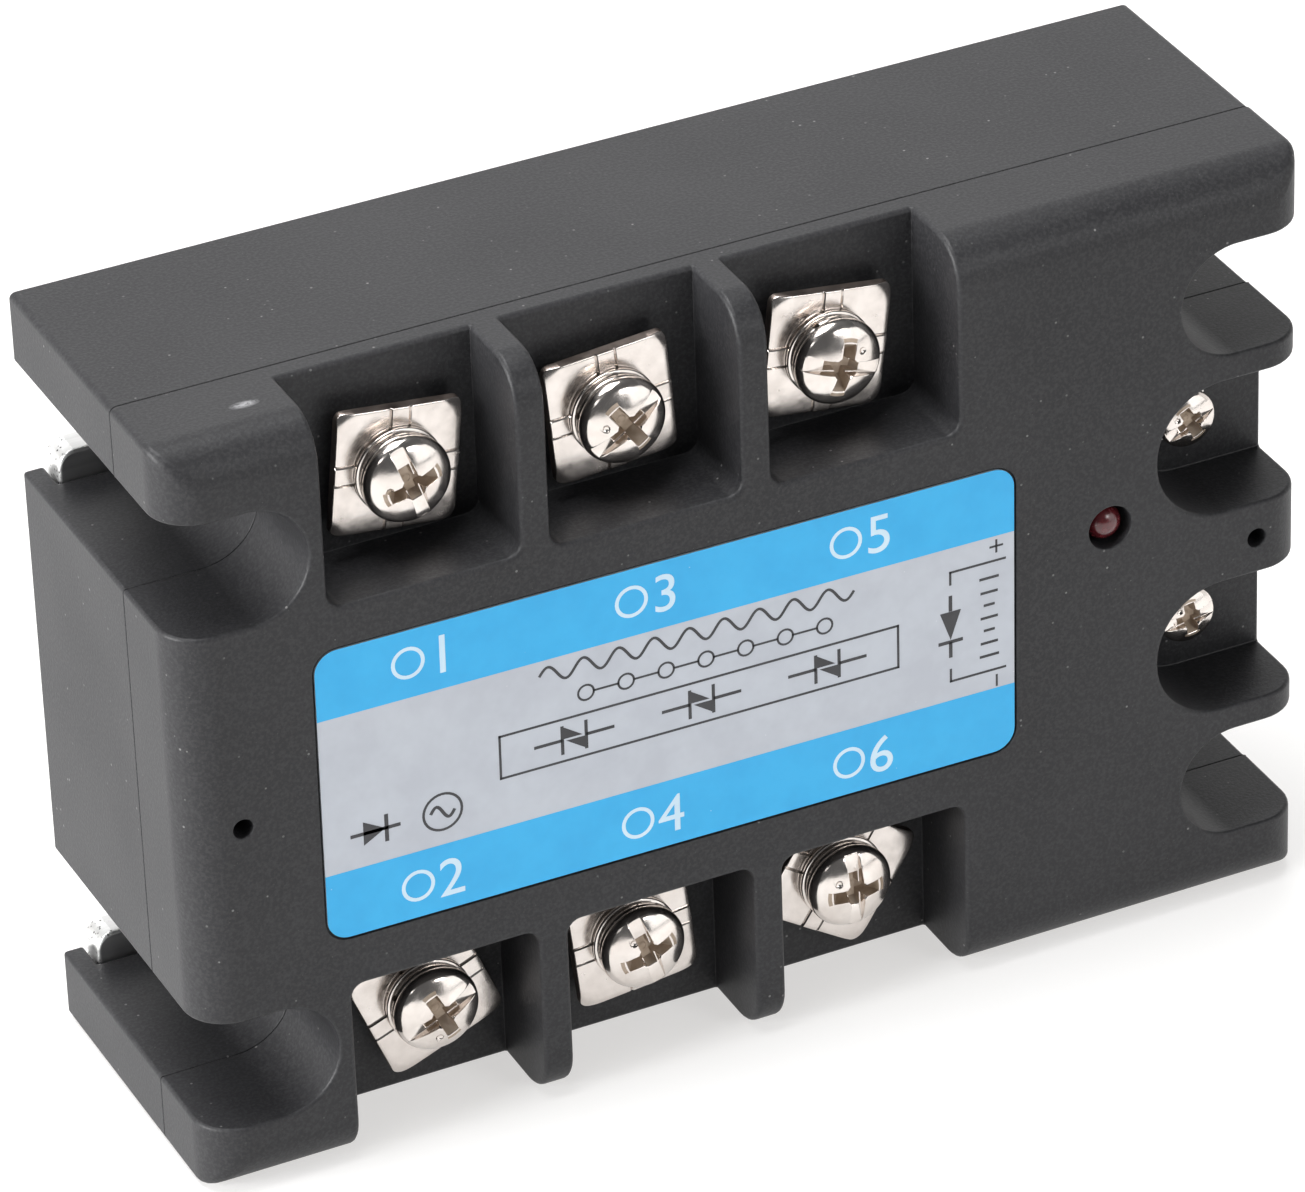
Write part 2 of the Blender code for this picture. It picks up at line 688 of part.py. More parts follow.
# ---------------------------------------------------------------- parts on the board, one set a phase
BOARD_BACK = BOARD_FRONT + BOARD_THICK + 0.3
for phase, x in zip("123", POWER_X):
    coupler = box_mesh(
        f"optocoupler_{phase}", (x - 4.4, BOARD_BACK, 32.8), (x + 4.4, BOARD_BACK + 3.4, 39.2), 0.3, 1
    )
    new_object(f"optocoupler_{phase}", coupler, CHIP_BLACK)
    capacitor = box_mesh(
        f"snubber_capacitor_{phase}", (x - 5.0, BOARD_BACK, 42.6), (x + 5.0, BOARD_BACK + 9.0, 47.6), 0.4, 1
    )
    new_object(f"snubber_capacitor_{phase}", capacitor, CAPACITOR_FILM)
    bm = bmesh.new()
    bmesh.ops.create_cone(
        bm,
        cap_ends=True,
        segments=14,
        radius1=1.6 * MM,
        radius2=1.6 * MM,
        depth=9.0 * MM,
        matrix=Matrix.Rotation(math.pi / 2, 4, "Y"),
    )
    resistor = new_object(
        f"snubber_resistor_{phase}", mesh_from(bm, f"snubber_resistor_{phase}"), RESISTOR_BODY
    )
    resistor.location = place(x, BOARD_BACK + 1.65, 27.0)
    smooth(resistor)

# ---------------------------------------------------------------- power stage, one set a phase
CERAMIC_FROM, CERAMIC_TO = 27.6, 28.7
for phase, x in zip("123", POWER_X):
    tile = box_mesh(f"ceramic_tile_{phase}", (x - 8.0, CERAMIC_FROM, 13.5), (x + 8.0, CERAMIC_TO, 58.5))
    new_object(f"ceramic_tile_{phase}", tile, CERAMIC)
    low_foot = HEIGHT - POWER_Z - STRIP_FROM + FOOT_LENGTH
    block = box_mesh(
        f"thyristor_pair_{phase}",
        (x - 6.5, 23.8, low_foot + 1.0),
        (x + 6.5, STRIP_END, HEIGHT - low_foot - 1.0),
        0.4,
        1,
    )
    new_object(f"thyristor_pair_{phase}", block, CHIP_BLACK)
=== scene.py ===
"""The looks of a three-phase solid state relay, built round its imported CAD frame.

Sizes are in millimetres from the left end (x), the front face (y) and the bottom (z), as in the
part itself, and mm() turns them into the frame's own coordinates.
"""

import math

import bmesh
import bpy
from mathutils import Matrix, Vector


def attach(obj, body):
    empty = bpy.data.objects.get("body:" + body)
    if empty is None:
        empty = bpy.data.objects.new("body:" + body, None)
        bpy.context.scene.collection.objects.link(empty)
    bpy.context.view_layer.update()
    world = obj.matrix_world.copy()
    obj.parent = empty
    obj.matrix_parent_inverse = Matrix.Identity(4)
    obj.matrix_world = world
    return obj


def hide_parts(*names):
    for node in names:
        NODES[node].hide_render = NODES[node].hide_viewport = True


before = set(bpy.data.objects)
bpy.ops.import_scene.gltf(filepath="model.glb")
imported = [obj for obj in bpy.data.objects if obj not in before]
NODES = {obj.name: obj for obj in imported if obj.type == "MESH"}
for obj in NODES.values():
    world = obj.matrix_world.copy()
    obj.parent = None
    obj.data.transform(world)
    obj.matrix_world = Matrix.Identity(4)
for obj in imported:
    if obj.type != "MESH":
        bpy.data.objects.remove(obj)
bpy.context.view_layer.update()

LENGTH, DEPTH, HEIGHT = 105.0, 32.0, 72.0
SEAM = 10.4
HOUSING = "housing"

LED_X, LED_Z, LED_HOLE_R, LENS_R = 85.7, 41.2, 2.05, 1.68
PEG_HOLES_X, PEG_HOLE_R = (5.0, 100.0), 0.9
POCKET_DEEP = 8.4                  # from the front face to the floors the strips lie on
POCKETS_X = ((13.7, 31.0), (33.7, 51.2), (53.9, 71.5))

HEAD_R = 3.9                       # the power screws' heads; the inputs' are this shape, smaller
INPUT_SIZE = 2.7 / HEAD_R
# depths of the stack at a power terminal, then at an input
SCREW_Y, SPRING_Y, COLLAR_Y, CLAMP_Y = 2.4, 4.58, 5.46, 5.93
INPUT_SCREW_Y, INPUT_SPRING_Y, INPUT_CLAMP_Y = 4.9, 6.44, 6.72

POWER = (
    # name, x, z, turn of the clamp washer, turn of the screw, dimple's angle from the slot
    ("1", 22.9, 62.1, -6.5, -72.0, 252.0),
    ("3", 42.35, 62.1, 4.5, 35.0, 135.0),
    ("5", 62.2, 62.1, -7.5, -16.0, 51.0),
    ("2", 22.9, 9.9, 22.0, 25.0, 235.0),
    ("4", 42.35, 9.9, 6.0, -72.0, 205.0),
    ("6", 62.2, 9.9, -33.0, -88.0, 230.0),
)
INPUTS = (
    # name, x, z, turn of the clamp washer, turn of the screw
    ("plus", 96.4, 45.85, 13.0, 27.0),
    ("minus", 96.4, 26.15, 22.0, 8.0),
)


def mm(x, y, z):
    """A place on the relay in the frame's own coordinates, which are metres."""
    return Vector((x - LENGTH / 2, y - DEPTH / 2, z)) * 0.001


# ------------------------------------------------------------------ shader building
class Shader:
    """A material's node tree, with short calls for the nodes used here."""

    def __init__(self, name):
        self.material = bpy.data.materials.new(name)
        self.material.use_nodes = True
        self.tree = self.material.node_tree
        self.out = self.tree.nodes["Principled BSDF"]
        self.coords = self.tree.nodes.new("ShaderNodeTexCoord").outputs["Object"]

    def set(self, **values):
        for key, value in values.items():
            self.out.inputs[key.replace("_", " ")].default_value = value
        return self

    def link(self, source, socket):
        self.tree.links.new(source, socket)
        return source

    def node(self, kind, **inputs):
        made = self.tree.nodes.new(kind)
        for key, value in inputs.items():
            made.inputs[key].default_value = value
        return made

    def stretched(self, scale):
        node = self.node("ShaderNodeMapping", Scale=scale)
        self.link(self.coords, node.inputs["Vector"])
        return node.outputs["Vector"]

    def noise(self, size_mm, detail=2.0, rough=0.5, stretch=None):
        node = self.node(
            "ShaderNodeTexNoise", Scale=1000.0 / size_mm, Detail=detail, Roughness=rough
        )
        self.link(self.stretched(stretch) if stretch else self.coords, node.inputs["Vector"])
        return node.outputs["Fac"]

    def spots(self, size_mm):
        """Distance to scattered points, one to a cell."""
        node = self.node("ShaderNodeTexVoronoi", Scale=1000.0 / size_mm)
        self.link(self.coords, node.inputs["Vector"])
        return node.outputs["Distance"]

    def near(self, centre, size):
        """1 at a point on the object and 0 outside an ellipsoid about it, both in metres."""
        source = self.coords
        for operation, value in (("SUBTRACT", centre), ("DIVIDE", size)):
            step = self.node("ShaderNodeVectorMath")
            step.operation = operation
            self.link(source, step.inputs[0])
            step.inputs[1].default_value = value
            source = step.outputs[0]
        away = self.node("ShaderNodeVectorMath")
        away.operation = "LENGTH"
        self.link(source, away.inputs[0])
        return self.ramp(away.outputs["Value"], 1.0, 0.15)

    def ramp(self, source, low, high, start=0.0, end=1.0):
        """A straight line from start at low to end at high, level beyond both."""
        node = self.node("ShaderNodeMapRange")
        node.clamp = True
        for key, value in zip(("From Min", "From Max", "To Min", "To Max"), (low, high, start, end)):
            node.inputs[key].default_value = value
        self.link(source, node.inputs["Value"])
        return node.outputs["Result"]

    def math(self, operation, a, b):
        node = self.tree.nodes.new("ShaderNodeMath")
        node.operation = operation
        for socket, value in zip(node.inputs, (a, b)):
            if isinstance(value, float):
                socket.default_value = value
            else:
                self.link(value, socket)
        return node.outputs[0]

    def mix(self, factor, a, b):
        node = self.tree.nodes.new("ShaderNodeMix")
        node.data_type = "RGBA"
        if isinstance(factor, float):
            node.inputs[0].default_value = factor
        else:
            self.link(factor, node.inputs[0])
        for socket, value in ((node.inputs[6], a), (node.inputs[7], b)):
            if isinstance(value, tuple):
                socket.default_value = (*value, 1.0)
            else:
                self.link(value, socket)
        return node.outputs[2]

    def bump(self, height, distance_mm, strength, under=None):
        node = self.node("ShaderNodeBump", Strength=strength, Distance=distance_mm * 0.001)
        self.link(height, node.inputs["Height"])
        if under is not None:
            self.link(under, node.inputs["Normal"])
        return node.outputs["Normal"]

    def colour(self, source):
        self.link(source, self.out.inputs["Base Color"])
        return self

    def roughness(self, source):
        self.link(source, self.out.inputs["Roughness"])
        return self

    def normal(self, source):
        self.link(source, self.out.inputs["Normal"])
        return self


SCUFF_AT, SCUFF_SIZE = (-0.0427, -0.0103, 0.072), (0.0014, 0.0006, 0.001)


def moulded_plastic(name, dark, light, rough):
    """Spark-textured black plastic: faint patches, dust, a fine grain and one pale scuff on top."""
    s = Shader(name).set(IOR=1.37)
    patches = s.noise(22.0, 3.0, 0.55)
    tone = s.mix(s.ramp(patches, 0.35, 0.68), dark, light)
    dust = s.ramp(s.spots(1.6), 0.085, 0.050)
    dust = s.math("MULTIPLY", dust, s.ramp(s.noise(5.0, 1.0), 0.44, 0.60))
    tone = s.mix(s.math("MULTIPLY", dust, 0.6), tone, (0.26, 0.255, 0.25))
    lint = s.math("MULTIPLY", s.ramp(s.spots(0.8), 0.060, 0.030), 0.35)
    tone = s.mix(lint, tone, (0.17, 0.168, 0.165))
    grain = s.noise(0.30, 2.0, 0.6)
    scuff = s.math("MULTIPLY", s.near(SCUFF_AT, SCUFF_SIZE), s.ramp(grain, 0.30, 0.60))
    tone = s.mix(s.math("MULTIPLY", scuff, 1.4), tone, (0.30, 0.30, 0.31))
    s.colour(s.mix(s.ramp(grain, 0.42, 0.66, 0.0, 0.30), tone, (0.060, 0.060, 0.062)))
    s.roughness(s.ramp(s.noise(14.0, 2.0), 0.3, 0.7, rough - 0.02, rough + 0.03))
    waviness = s.bump(s.noise(9.0, 1.0), 0.008, 0.3)
    s.normal(s.bump(grain, 0.030, 0.7, under=waviness))
    return s.material


def plated_metal(name, bright, dull, rough, pits=0.5, grain_mm=0.5, metallic=1.0):
    """Plated or bare metal with stains, soft dents and fine pits."""
    s = Shader(name).set(Metallic=metallic)
    stain = s.ramp(s.noise(2.6, 3.0, 0.6), 0.38, 0.72)
    s.colour(s.mix(stain, bright, dull))
    s.roughness(s.ramp(s.noise(1.1, 3.0), 0.3, 0.75, rough - 0.04, rough + 0.10))
    dents = s.bump(s.noise(1.7, 2.0), 0.05, 0.22)
    fine = s.noise(grain_mm, 3.0, 0.6)
    s.normal(s.bump(fine, 0.008, pits, under=dents))
    return s.material


BLACK = moulded_plastic(
    "black_moulded_plastic", (0.0150, 0.0150, 0.0167), (0.0193, 0.0193, 0.0211), 0.47
)
NICKEL = plated_metal("nickel_plate", (0.80, 0.745, 0.70), (0.68, 0.62, 0.575), 0.15)
CLAMP_NICKEL = plated_metal(
    "stamped_nickel_plate", (0.76, 0.705, 0.665), (0.64, 0.585, 0.545), 0.19, 0.5, 0.9
)
SHEARED = plated_metal("sheared_edge", (0.34, 0.285, 0.255), (0.15, 0.122, 0.108), 0.38, 1.0, 0.25)
SPRING = plated_metal("spring_steel_plate", (0.68, 0.63, 0.59), (0.46, 0.42, 0.39), 0.18)
RECESS = plated_metal("stained_recess", (0.50, 0.41, 0.33), (0.27, 0.20, 0.135), 0.42, 1.0, 0.3, 0.55)
TIN = plated_metal("tinned_copper", (0.80, 0.78, 0.75), (0.62, 0.60, 0.58), 0.28)
BRASS = plated_metal("nut_brass", (0.76, 0.60, 0.30), (0.55, 0.40, 0.18), 0.26)


def cut_aluminium(name, light, dark, pit_every, pit_from, pit_to, pit_tone=0.40):
    """Sawn and tumbled aluminium: light, pitted and slightly streaked."""
    s = Shader(name).set(Metallic=1.0)
    pits = s.ramp(s.spots(pit_every), pit_from, pit_to)
    streaks = s.noise(0.8, 3.0, 0.55, stretch=(0.05, 1.0, 1.0))
    tone = s.mix(s.ramp(streaks, 0.3, 0.7), (light, light, light * 0.99), (dark, dark, dark * 0.99))
    s.colour(s.mix(pits, (pit_tone,) * 3, tone))
    s.roughness(s.ramp(s.noise(3.0, 3.0), 0.3, 0.7, 0.30, 0.46))
    lines = s.bump(streaks, 0.010, 0.5)
    s.normal(s.bump(pits, 0.020, 0.5, under=lines))
    return s.material


ALUMINIUM = cut_aluminium("cut_aluminium", 0.74, 0.62, 0.55, 0.02, 0.08)
PITTED = cut_aluminium("pitted_aluminium", 0.92, 0.80, 0.42, 0.16, 0.30, 0.10)
GROUND = cut_aluminium("ground_aluminium", 0.50, 0.40, 1.1, 0.01, 0.03)


def printed_film(name, base, other):
    """Printed plastic film: a faint mottle, dust and the film's own slight ripple."""
    s = Shader(name).set(IOR=1.46)
    mottle = s.noise(3.5, 3.0, 0.6)
    tone = s.mix(s.ramp(mottle, 0.35, 0.65), base, other)
    dust = s.ramp(s.spots(2.3), 0.028, 0.016)
    s.colour(s.mix(s.math("MULTIPLY", dust, 0.35), tone, (0.88, 0.88, 0.88)))
    s.roughness(s.ramp(s.noise(6.0, 2.0), 0.3, 0.7, 0.29, 0.41))
    ripple = s.bump(s.noise(7.0, 1.0), 0.03, 0.3)
    s.normal(s.bump(s.noise(0.3, 2.0), 0.004, 0.35, under=ripple))
    return s.material


FILM = printed_film("film_grey_white", (0.485, 0.515, 0.565), (0.445, 0.47, 0.52))
BAND = printed_film("film_sky_blue", (0.030, 0.405, 0.76), (0.024, 0.37, 0.72))
WHITE_INK = printed_film("ink_white", (0.58, 0.74, 0.84), (0.53, 0.70, 0.82))
DARK_INK = printed_film("ink_dark", (0.028, 0.028, 0.032), (0.04, 0.04, 0.045))


def red_resin(name):
    """Clouded dark red resin under a soft gloss."""
    s = Shader(name).set(IOR=1.52)
    s.out.inputs["Coat Weight"].default_value = 0.5
    s.out.inputs["Coat Roughness"].default_value = 0.22
    cloud = s.noise(1.2, 2.0)
    s.colour(s.mix(s.ramp(cloud, 0.35, 0.7), (0.060, 0.005, 0.008), (0.12, 0.012, 0.016)))
    s.roughness(s.ramp(s.noise(0.6, 2.0), 0.3, 0.7, 0.16, 0.30))
    s.normal(s.bump(s.noise(0.5, 2.0), 0.006, 0.3))
    return s.material


RED = red_resin("red_led_resin")


def plain_finish(name, base, other, rough, grain_mm, bump_mm):
    """A mottled finish for the parts inside."""
    s = Shader(name)
    s.colour(s.mix(s.ramp(s.noise(grain_mm * 6, 3.0), 0.35, 0.65), base, other))
    s.roughness(s.ramp(s.noise(grain_mm * 3, 2.0), 0.3, 0.7, rough - 0.06, rough + 0.08))
    s.normal(s.bump(s.noise(grain_mm, 2.0), bump_mm, 0.5))
    return s.material


BOARD = plain_finish("board_solder_mask", (0.018, 0.11, 0.045), (0.03, 0.16, 0.06), 0.36, 0.5, 0.02)
CERAMIC = plain_finish("fired_ceramic", (0.80, 0.79, 0.76), (0.72, 0.72, 0.70), 0.5, 0.3, 0.02)
CHIP = plain_finish("chip_resin", (0.022, 0.022, 0.024), (0.035, 0.035, 0.036), 0.5, 0.25, 0.03)
CAPACITOR = plain_finish("capacitor_case", (0.42, 0.20, 0.03), (0.50, 0.26, 0.05), 0.34, 0.6, 0.02)
RESISTOR = plain_finish("resistor_lacquer", (0.30, 0.38, 0.44), (0.24, 0.31, 0.37), 0.4, 0.4, 0.02)


# ------------------------------------------------------------------ mesh building
def finish_mesh(bm, name):
    """Turns a bmesh into a mesh with its faces outwards."""
    bmesh.ops.recalc_face_normals(bm, faces=bm.faces)
    mesh = bpy.data.meshes.new(name)
    bm.to_mesh(mesh)
    bm.free()
    return mesh


def piece(name, mesh, *paints):
    """An object in the scene, its paints in the order of their slots."""
    made = bpy.data.objects.new(name, mesh)
    bpy.context.scene.collection.objects.link(made)
    for paint in paints:
        mesh.materials.append(paint)
    return made


def bake(obj):
    """Applies an object's modifiers to its mesh."""
    view = bpy.context.evaluated_depsgraph_get()
    view.update()
    mesh = bpy.data.meshes.new_from_object(obj.evaluated_get(view))
    old = obj.data
    obj.modifiers.clear()
    obj.data = mesh
    mesh.name = obj.name
    bpy.data.meshes.remove(old)
    return obj


def arc(cx, cy, radius, start, end, steps):
    """Points from one angle to another in degrees, both ends included."""
    angles = (math.radians(start + (end - start) * i / steps) for i in range(steps + 1))
    return [(cx + radius * math.cos(a), cy + radius * math.sin(a)) for a in angles]


def rounded_rectangle(x0, x1, z0, z1, radius, steps):
    points = arc(x1 - radius, z1 - radius, radius, 0, 90, steps)
    points += arc(x0 + radius, z1 - radius, radius, 90, 180, steps)
    points += arc(x0 + radius, z0 + radius, radius, 180, 270, steps)
    points += arc(x1 - radius, z0 + radius, radius, 270, 360, steps)
    return points


def shade(mesh, sharp):
    """Smooth shading, but for edges sharper than an angle in degrees."""
    mesh.shade_smooth()
    mesh.set_sharp_from_angle(angle=math.radians(sharp))


def walls(bm, near, far):
    """Quads between two rings of vertices."""
    for i in range(len(near)):
        bm.faces.new((near[i - 1], near[i], far[i], far[i - 1]))


def skin(bm, rings):
    """Walls from each ring to the next, and a face over each end."""
    for near, far in zip(rings, rings[1:]):
        walls(bm, near, far)
    bm.faces.new(rings[0])
    bm.faces.new(list(reversed(rings[-1])))


def up_down(points):
    """An outline mirrored between the top and the bottom."""
    return [(u, HEIGHT - v) for u, v in reversed(points)]


def left_right(points):
    """An outline mirrored between the two ends."""
    return [(LENGTH - u, v) for u, v in reversed(points)]


def slab(bm, points, y_from, y_to):
    """A closed solid between two depths, its outline given as seen from the front."""
    front = [bm.verts.new(mm(x, y_from, z)) for x, z in points]
    back = [bm.verts.new(mm(x, y_to, z)) for x, z in points]
    bm.faces.new(front)
    bm.faces.new(list(reversed(back)))
    walls(bm, front, back)


def prism(points, y_from, y_to):
    """One slab as a bmesh of its own."""
    bm = bmesh.new()
    slab(bm, points, y_from, y_to)
    return bm


def cut(target, bm):
    """One exact boolean, applied at once. The cutter isn't kept."""
    tool = piece("cutter", finish_mesh(bm, "cutter"))
    step = target.modifiers.new("cut", "BOOLEAN")
    step.operation = "DIFFERENCE"
    step.solver = "EXACT"
    step.object = tool
    bake(target)
    mesh = tool.data
    bpy.data.objects.remove(tool)
    bpy.data.meshes.remove(mesh)
    return target


WIDEST_EDGE = 2.0                  # millimetres, a bevel weight of 1


def soften(obj, width_of, angle=33.0, segments=3, weld=0.012, flats=True):
    """Rounds the sharp edges of a piece, each with the width in millimetres that width_of gives."""
    bm = bmesh.new()
    bm.from_mesh(obj.data)
    bmesh.ops.remove_doubles(bm, verts=bm.verts, dist=weld * 0.001)
    straight = [v for v in bm.verts if len(v.link_edges) == 2 and v.calc_edge_angle(1.0) < 0.001]
    bmesh.ops.dissolve_verts(bm, verts=straight)
    bmesh.ops.recalc_face_normals(bm, faces=bm.faces)
    layer = bm.edges.layers.float.new("bevel_weight_edge")
    for edge in bm.edges:
        if len(edge.link_faces) != 2 or edge.calc_face_angle(0.0) < math.radians(angle):
            continue
        a, b = (v.co * 1000 + Vector((LENGTH / 2, DEPTH / 2, 0)) for v in edge.verts)
        width = width_of((a + b) / 2, (b - a).normalized(), edge.is_convex)
        edge[layer] = min(1.0, width / WIDEST_EDGE)
    bm.to_mesh(obj.data)
    bm.free()
    step = obj.modifiers.new("round", "BEVEL")
    step.limit_method = "WEIGHT"
    step.width = WIDEST_EDGE * 0.001
    step.segments = segments
    step.use_clamp_overlap = False
    step.miter_outer = "MITER_ARC"
    step.harden_normals = False
    bake(obj)
    if flats:
        smooth_flats(obj)
    else:
        shade(obj.data, 40)
    return obj


def smooth_flats(obj):
    """Smooth shading in which the flat faces stay flat beside their rounded edges."""
    shade(obj.data, 50)
    step = obj.modifiers.new("flat_faces", "WEIGHTED_NORMAL")
    step.keep_sharp = True
    step.weight = 80
    bake(obj)


# ------------------------------------------------------------------ shell outlines
SLOT_R, SLOT_X, SLOT_Z = 5.3, 7.0, 60.15
FILLET = 3.9                       # round the whole front of the cover
CORNER_R = 0.6


def slot_outline(grow):
    """The upper left mounting slot, open to the left end."""
    radius = SLOT_R + grow
    points = [(-3.0, SLOT_Z + radius), (-3.0, SLOT_Z - radius)]
    return points + arc(SLOT_X, SLOT_Z, radius, -90, 90, 28)


def all_slots(grow=0.0):
    first = slot_outline(grow)
    return (first, left_right(first), up_down(first), left_right(up_down(first)))


def pocket_outline(x0, x1):
    """An upper terminal pocket, open to the top."""
    corner, floor = 1.3, 54.5
    points = [(x1, HEIGHT + 2), (x0, HEIGHT + 2)]
    points += arc(x0 + corner, floor + corner, corner, 180, 270, 5)
    points += arc(x1 - corner, floor + corner, corner, 270, 360, 5)
    return points


def recess_outline():
    """The upper input recess, open to the right end."""
    left, low, high, corner = 90.4, 39.5, 52.4, 6.3
    points = [(LENGTH + 2, low), (LENGTH + 2, high)]
    points += arc(left + corner, high - corner, corner, 90, 180, 12)
    points += arc(left + corner, low + corner, corner, 180, 270, 12)
    return points


def cover_blank():
    """The cover before its cuts: a slab with a fillet round its front."""
    steps = 9
    sections = [(SEAM, 0.0)]
    for i in range(steps + 1):
        a = math.pi / 2 * i / steps
        sections.append((FILLET * (1 - math.sin(a)), FILLET * (1 - math.cos(a))))
    bm = bmesh.new()
    rings = []
    for depth, inset in sections:
        radius = CORNER_R + 0.2 * inset
        points = rounded_rectangle(inset, LENGTH - inset, inset, HEIGHT - inset, radius, 5)
        rings.append([bm.verts.new(mm(x, depth, z)) for x, z in points])
    skin(bm, rings)
    return bm


def cover_edge(middle, along, convex):
    """How wide each sharp edge of the cover is rounded."""
    x, y, z = middle
    if y > SEAM - 0.05:
        return 0.08
    if abs(x - LED_X) < 2.5 and abs(z - LED_Z) < 2.5:
        return 0.14
    if abs(z - HEIGHT / 2) < 1.5 and any(abs(x - peg) < 1.5 for peg in PEG_HOLES_X):
        return 0.12
    if y < 0.5 and 11.0 < x < 77.5 and 21.0 < z < 51.5:
        return 0.07
    if not convex:
        return 0.40 if abs(along.y) > 0.5 else (0.14 if x > 90 else 0.06)
    if x < 13 or x > 92:
        return 0.34
    return 0.45


LABEL_MIDDLE = (44.2, 36.3)
LABEL_HALF = (32.2, 14.0)
LABEL_CORNER = 2.0
LABEL_TILT = math.radians(-0.45)


def on_label(points):
    """Label coordinates, millimetres from its middle, to the front face."""
    c, s = math.cos(LABEL_TILT), math.sin(LABEL_TILT)
    return [(LABEL_MIDDLE[0] + u * c - v * s, LABEL_MIDDLE[1] + u * s + v * c) for u, v in points]


def label_seat(grow):
    """The label's outline made larger all round."""
    a, b = LABEL_HALF[0] + grow, LABEL_HALF[1] + grow
    return on_label(rounded_rectangle(-a, a, -b, b, LABEL_CORNER + grow, 6))


cover = piece("front_cover_shell", finish_mesh(cover_blank(), "front_cover_shell"), BLACK)
for outline in all_slots():
    cut(cover, prism(outline, -1.0, SEAM + 1))
for pocket in [pocket_outline(x0, x1) for x0, x1 in POCKETS_X] + [recess_outline()]:
    cut(cover, prism(pocket, -1.0, POCKET_DEEP))
    cut(cover, prism(up_down(pocket), -1.0, POCKET_DEEP))
cut(cover, prism(label_seat(0.22), -1.0, 0.32))
cut(cover, prism(arc(LED_X, LED_Z, LED_HOLE_R, 0, 352.5, 47), -1.0, 6.0))
for peg_x in PEG_HOLES_X:
    cut(cover, prism(arc(peg_x, HEIGHT / 2, PEG_HOLE_R, 0, 345, 23), -1.0, 2.5))
soften(cover, cover_edge)
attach(cover, HOUSING)
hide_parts("front_cover")

# ------------------------------------------------------------------ rear housing
REAR_IN = 0.15                     # the rear housing stops this short of the cover's right end
SEAM_GAP = 0.09


def rear_edge(middle, along, convex):
    """How wide each sharp edge of the rear housing is rounded."""
    y = middle.y
    if y < SEAM + 0.3:
        return 0.08
    if not convex:
        return 0.15
    if y > DEPTH - 0.05:
        return 0.25
    return 0.35


rear_block = prism(
    rounded_rectangle(0.0, LENGTH - REAR_IN, 0.0, HEIGHT, CORNER_R, 6), SEAM + SEAM_GAP, DEPTH
)
rear = piece("rear_housing_shell", finish_mesh(rear_block, "rear_housing_shell"), BLACK)
for outline in all_slots():
    cut(rear, prism(outline, SEAM - 1, DEPTH + 1))
plate_seat = [(1.9, 1.7), (103.1, 1.7), (103.1, 70.3), (1.9, 70.3)]
cut(rear, prism(plate_seat, 28.85, DEPTH + 1))
soften(rear, rear_edge)
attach(rear, HOUSING)
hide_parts("rear_housing")

# the tongue of the rear housing closes the seam a little way in
tongue_block = prism(
    rounded_rectangle(0.7, LENGTH - 0.7, 0.55, HEIGHT - 0.55, 0.5, 4), SEAM + 0.01, SEAM + SEAM_GAP + 0.2
)
tongue = piece("rear_housing_tongue", finish_mesh(tongue_block, "rear_housing_tongue"), BLACK)
for outline in all_slots(0.5):
    cut(tongue, prism(outline, SEAM - 1, SEAM + 2))
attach(tongue, HOUSING)

# ------------------------------------------------------------------ base plate
PLATE_FROM = 29.0


def plate_outline():
    """The metal base seen from the front: a notch with rounded mouths at each slot."""
    left, low, corner, mouth, notch = 2.1, 1.9, 1.0, 1.5, 2.7
    points = arc(left + corner, HEIGHT - low - corner, corner, 90, 180, 5)
    points += arc(left + mouth, SLOT_Z + notch + mouth, mouth, 180, 270, 6)
    points += arc(SLOT_X, SLOT_Z, notch, 90, -90, 22)
    points += arc(left + mouth, SLOT_Z - notch - mouth, mouth, 90, 180, 6)
    side = points + up_down(points)
    return side + left_right(side)


plate_mesh = finish_mesh(prism(plate_outline(), PLATE_FROM, DEPTH), "plate")
plate = piece("base_plate_metal", plate_mesh, ALUMINIUM, PITTED, GROUND)
soften(plate, lambda middle, along, convex: 0.35)
for face in plate.data.polygons:
    back = face.normal.y > 0.9
    mouth = abs(face.center.x) > 0.0488 and abs(face.normal.y) < 0.9
    face.material_index = 2 if back else 1 if mouth else 0
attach(plate, HOUSING)
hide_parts("base_plate")


# ------------------------------------------------------------------ label
def flat_piece(name, outlines, y_front, y_back, paint):
    """Thin printed shapes on the label, each a closed outline in label coordinates."""
    bm = bmesh.new()
    for points in outlines:
        slab(bm, on_label(points), y_front, y_back)
    made = piece(name, finish_mesh(bm, name), paint)
    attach(made, HOUSING)
    return made


def stroke(points, width, closed=False):
    """Strips of constant width along a line, one four-sided outline for each stretch."""
    pairs = list(zip(points, points[1:]))
    if closed:
        pairs.append((points[-1], points[0]))
    strips = []
    for (u0, v0), (u1, v1) in pairs:
        du, dv = u1 - u0, v1 - v0
        size = math.hypot(du, dv)
        du, dv = du / size * width / 2, dv / size * width / 2
        start = [(u0 - du - dv, v0 - dv + du), (u0 - du + dv, v0 - dv - du)]
        strips.append(start + [(u1 + du + dv, v1 + dv - du), (u1 + du - dv, v1 + dv + du)])
    return strips


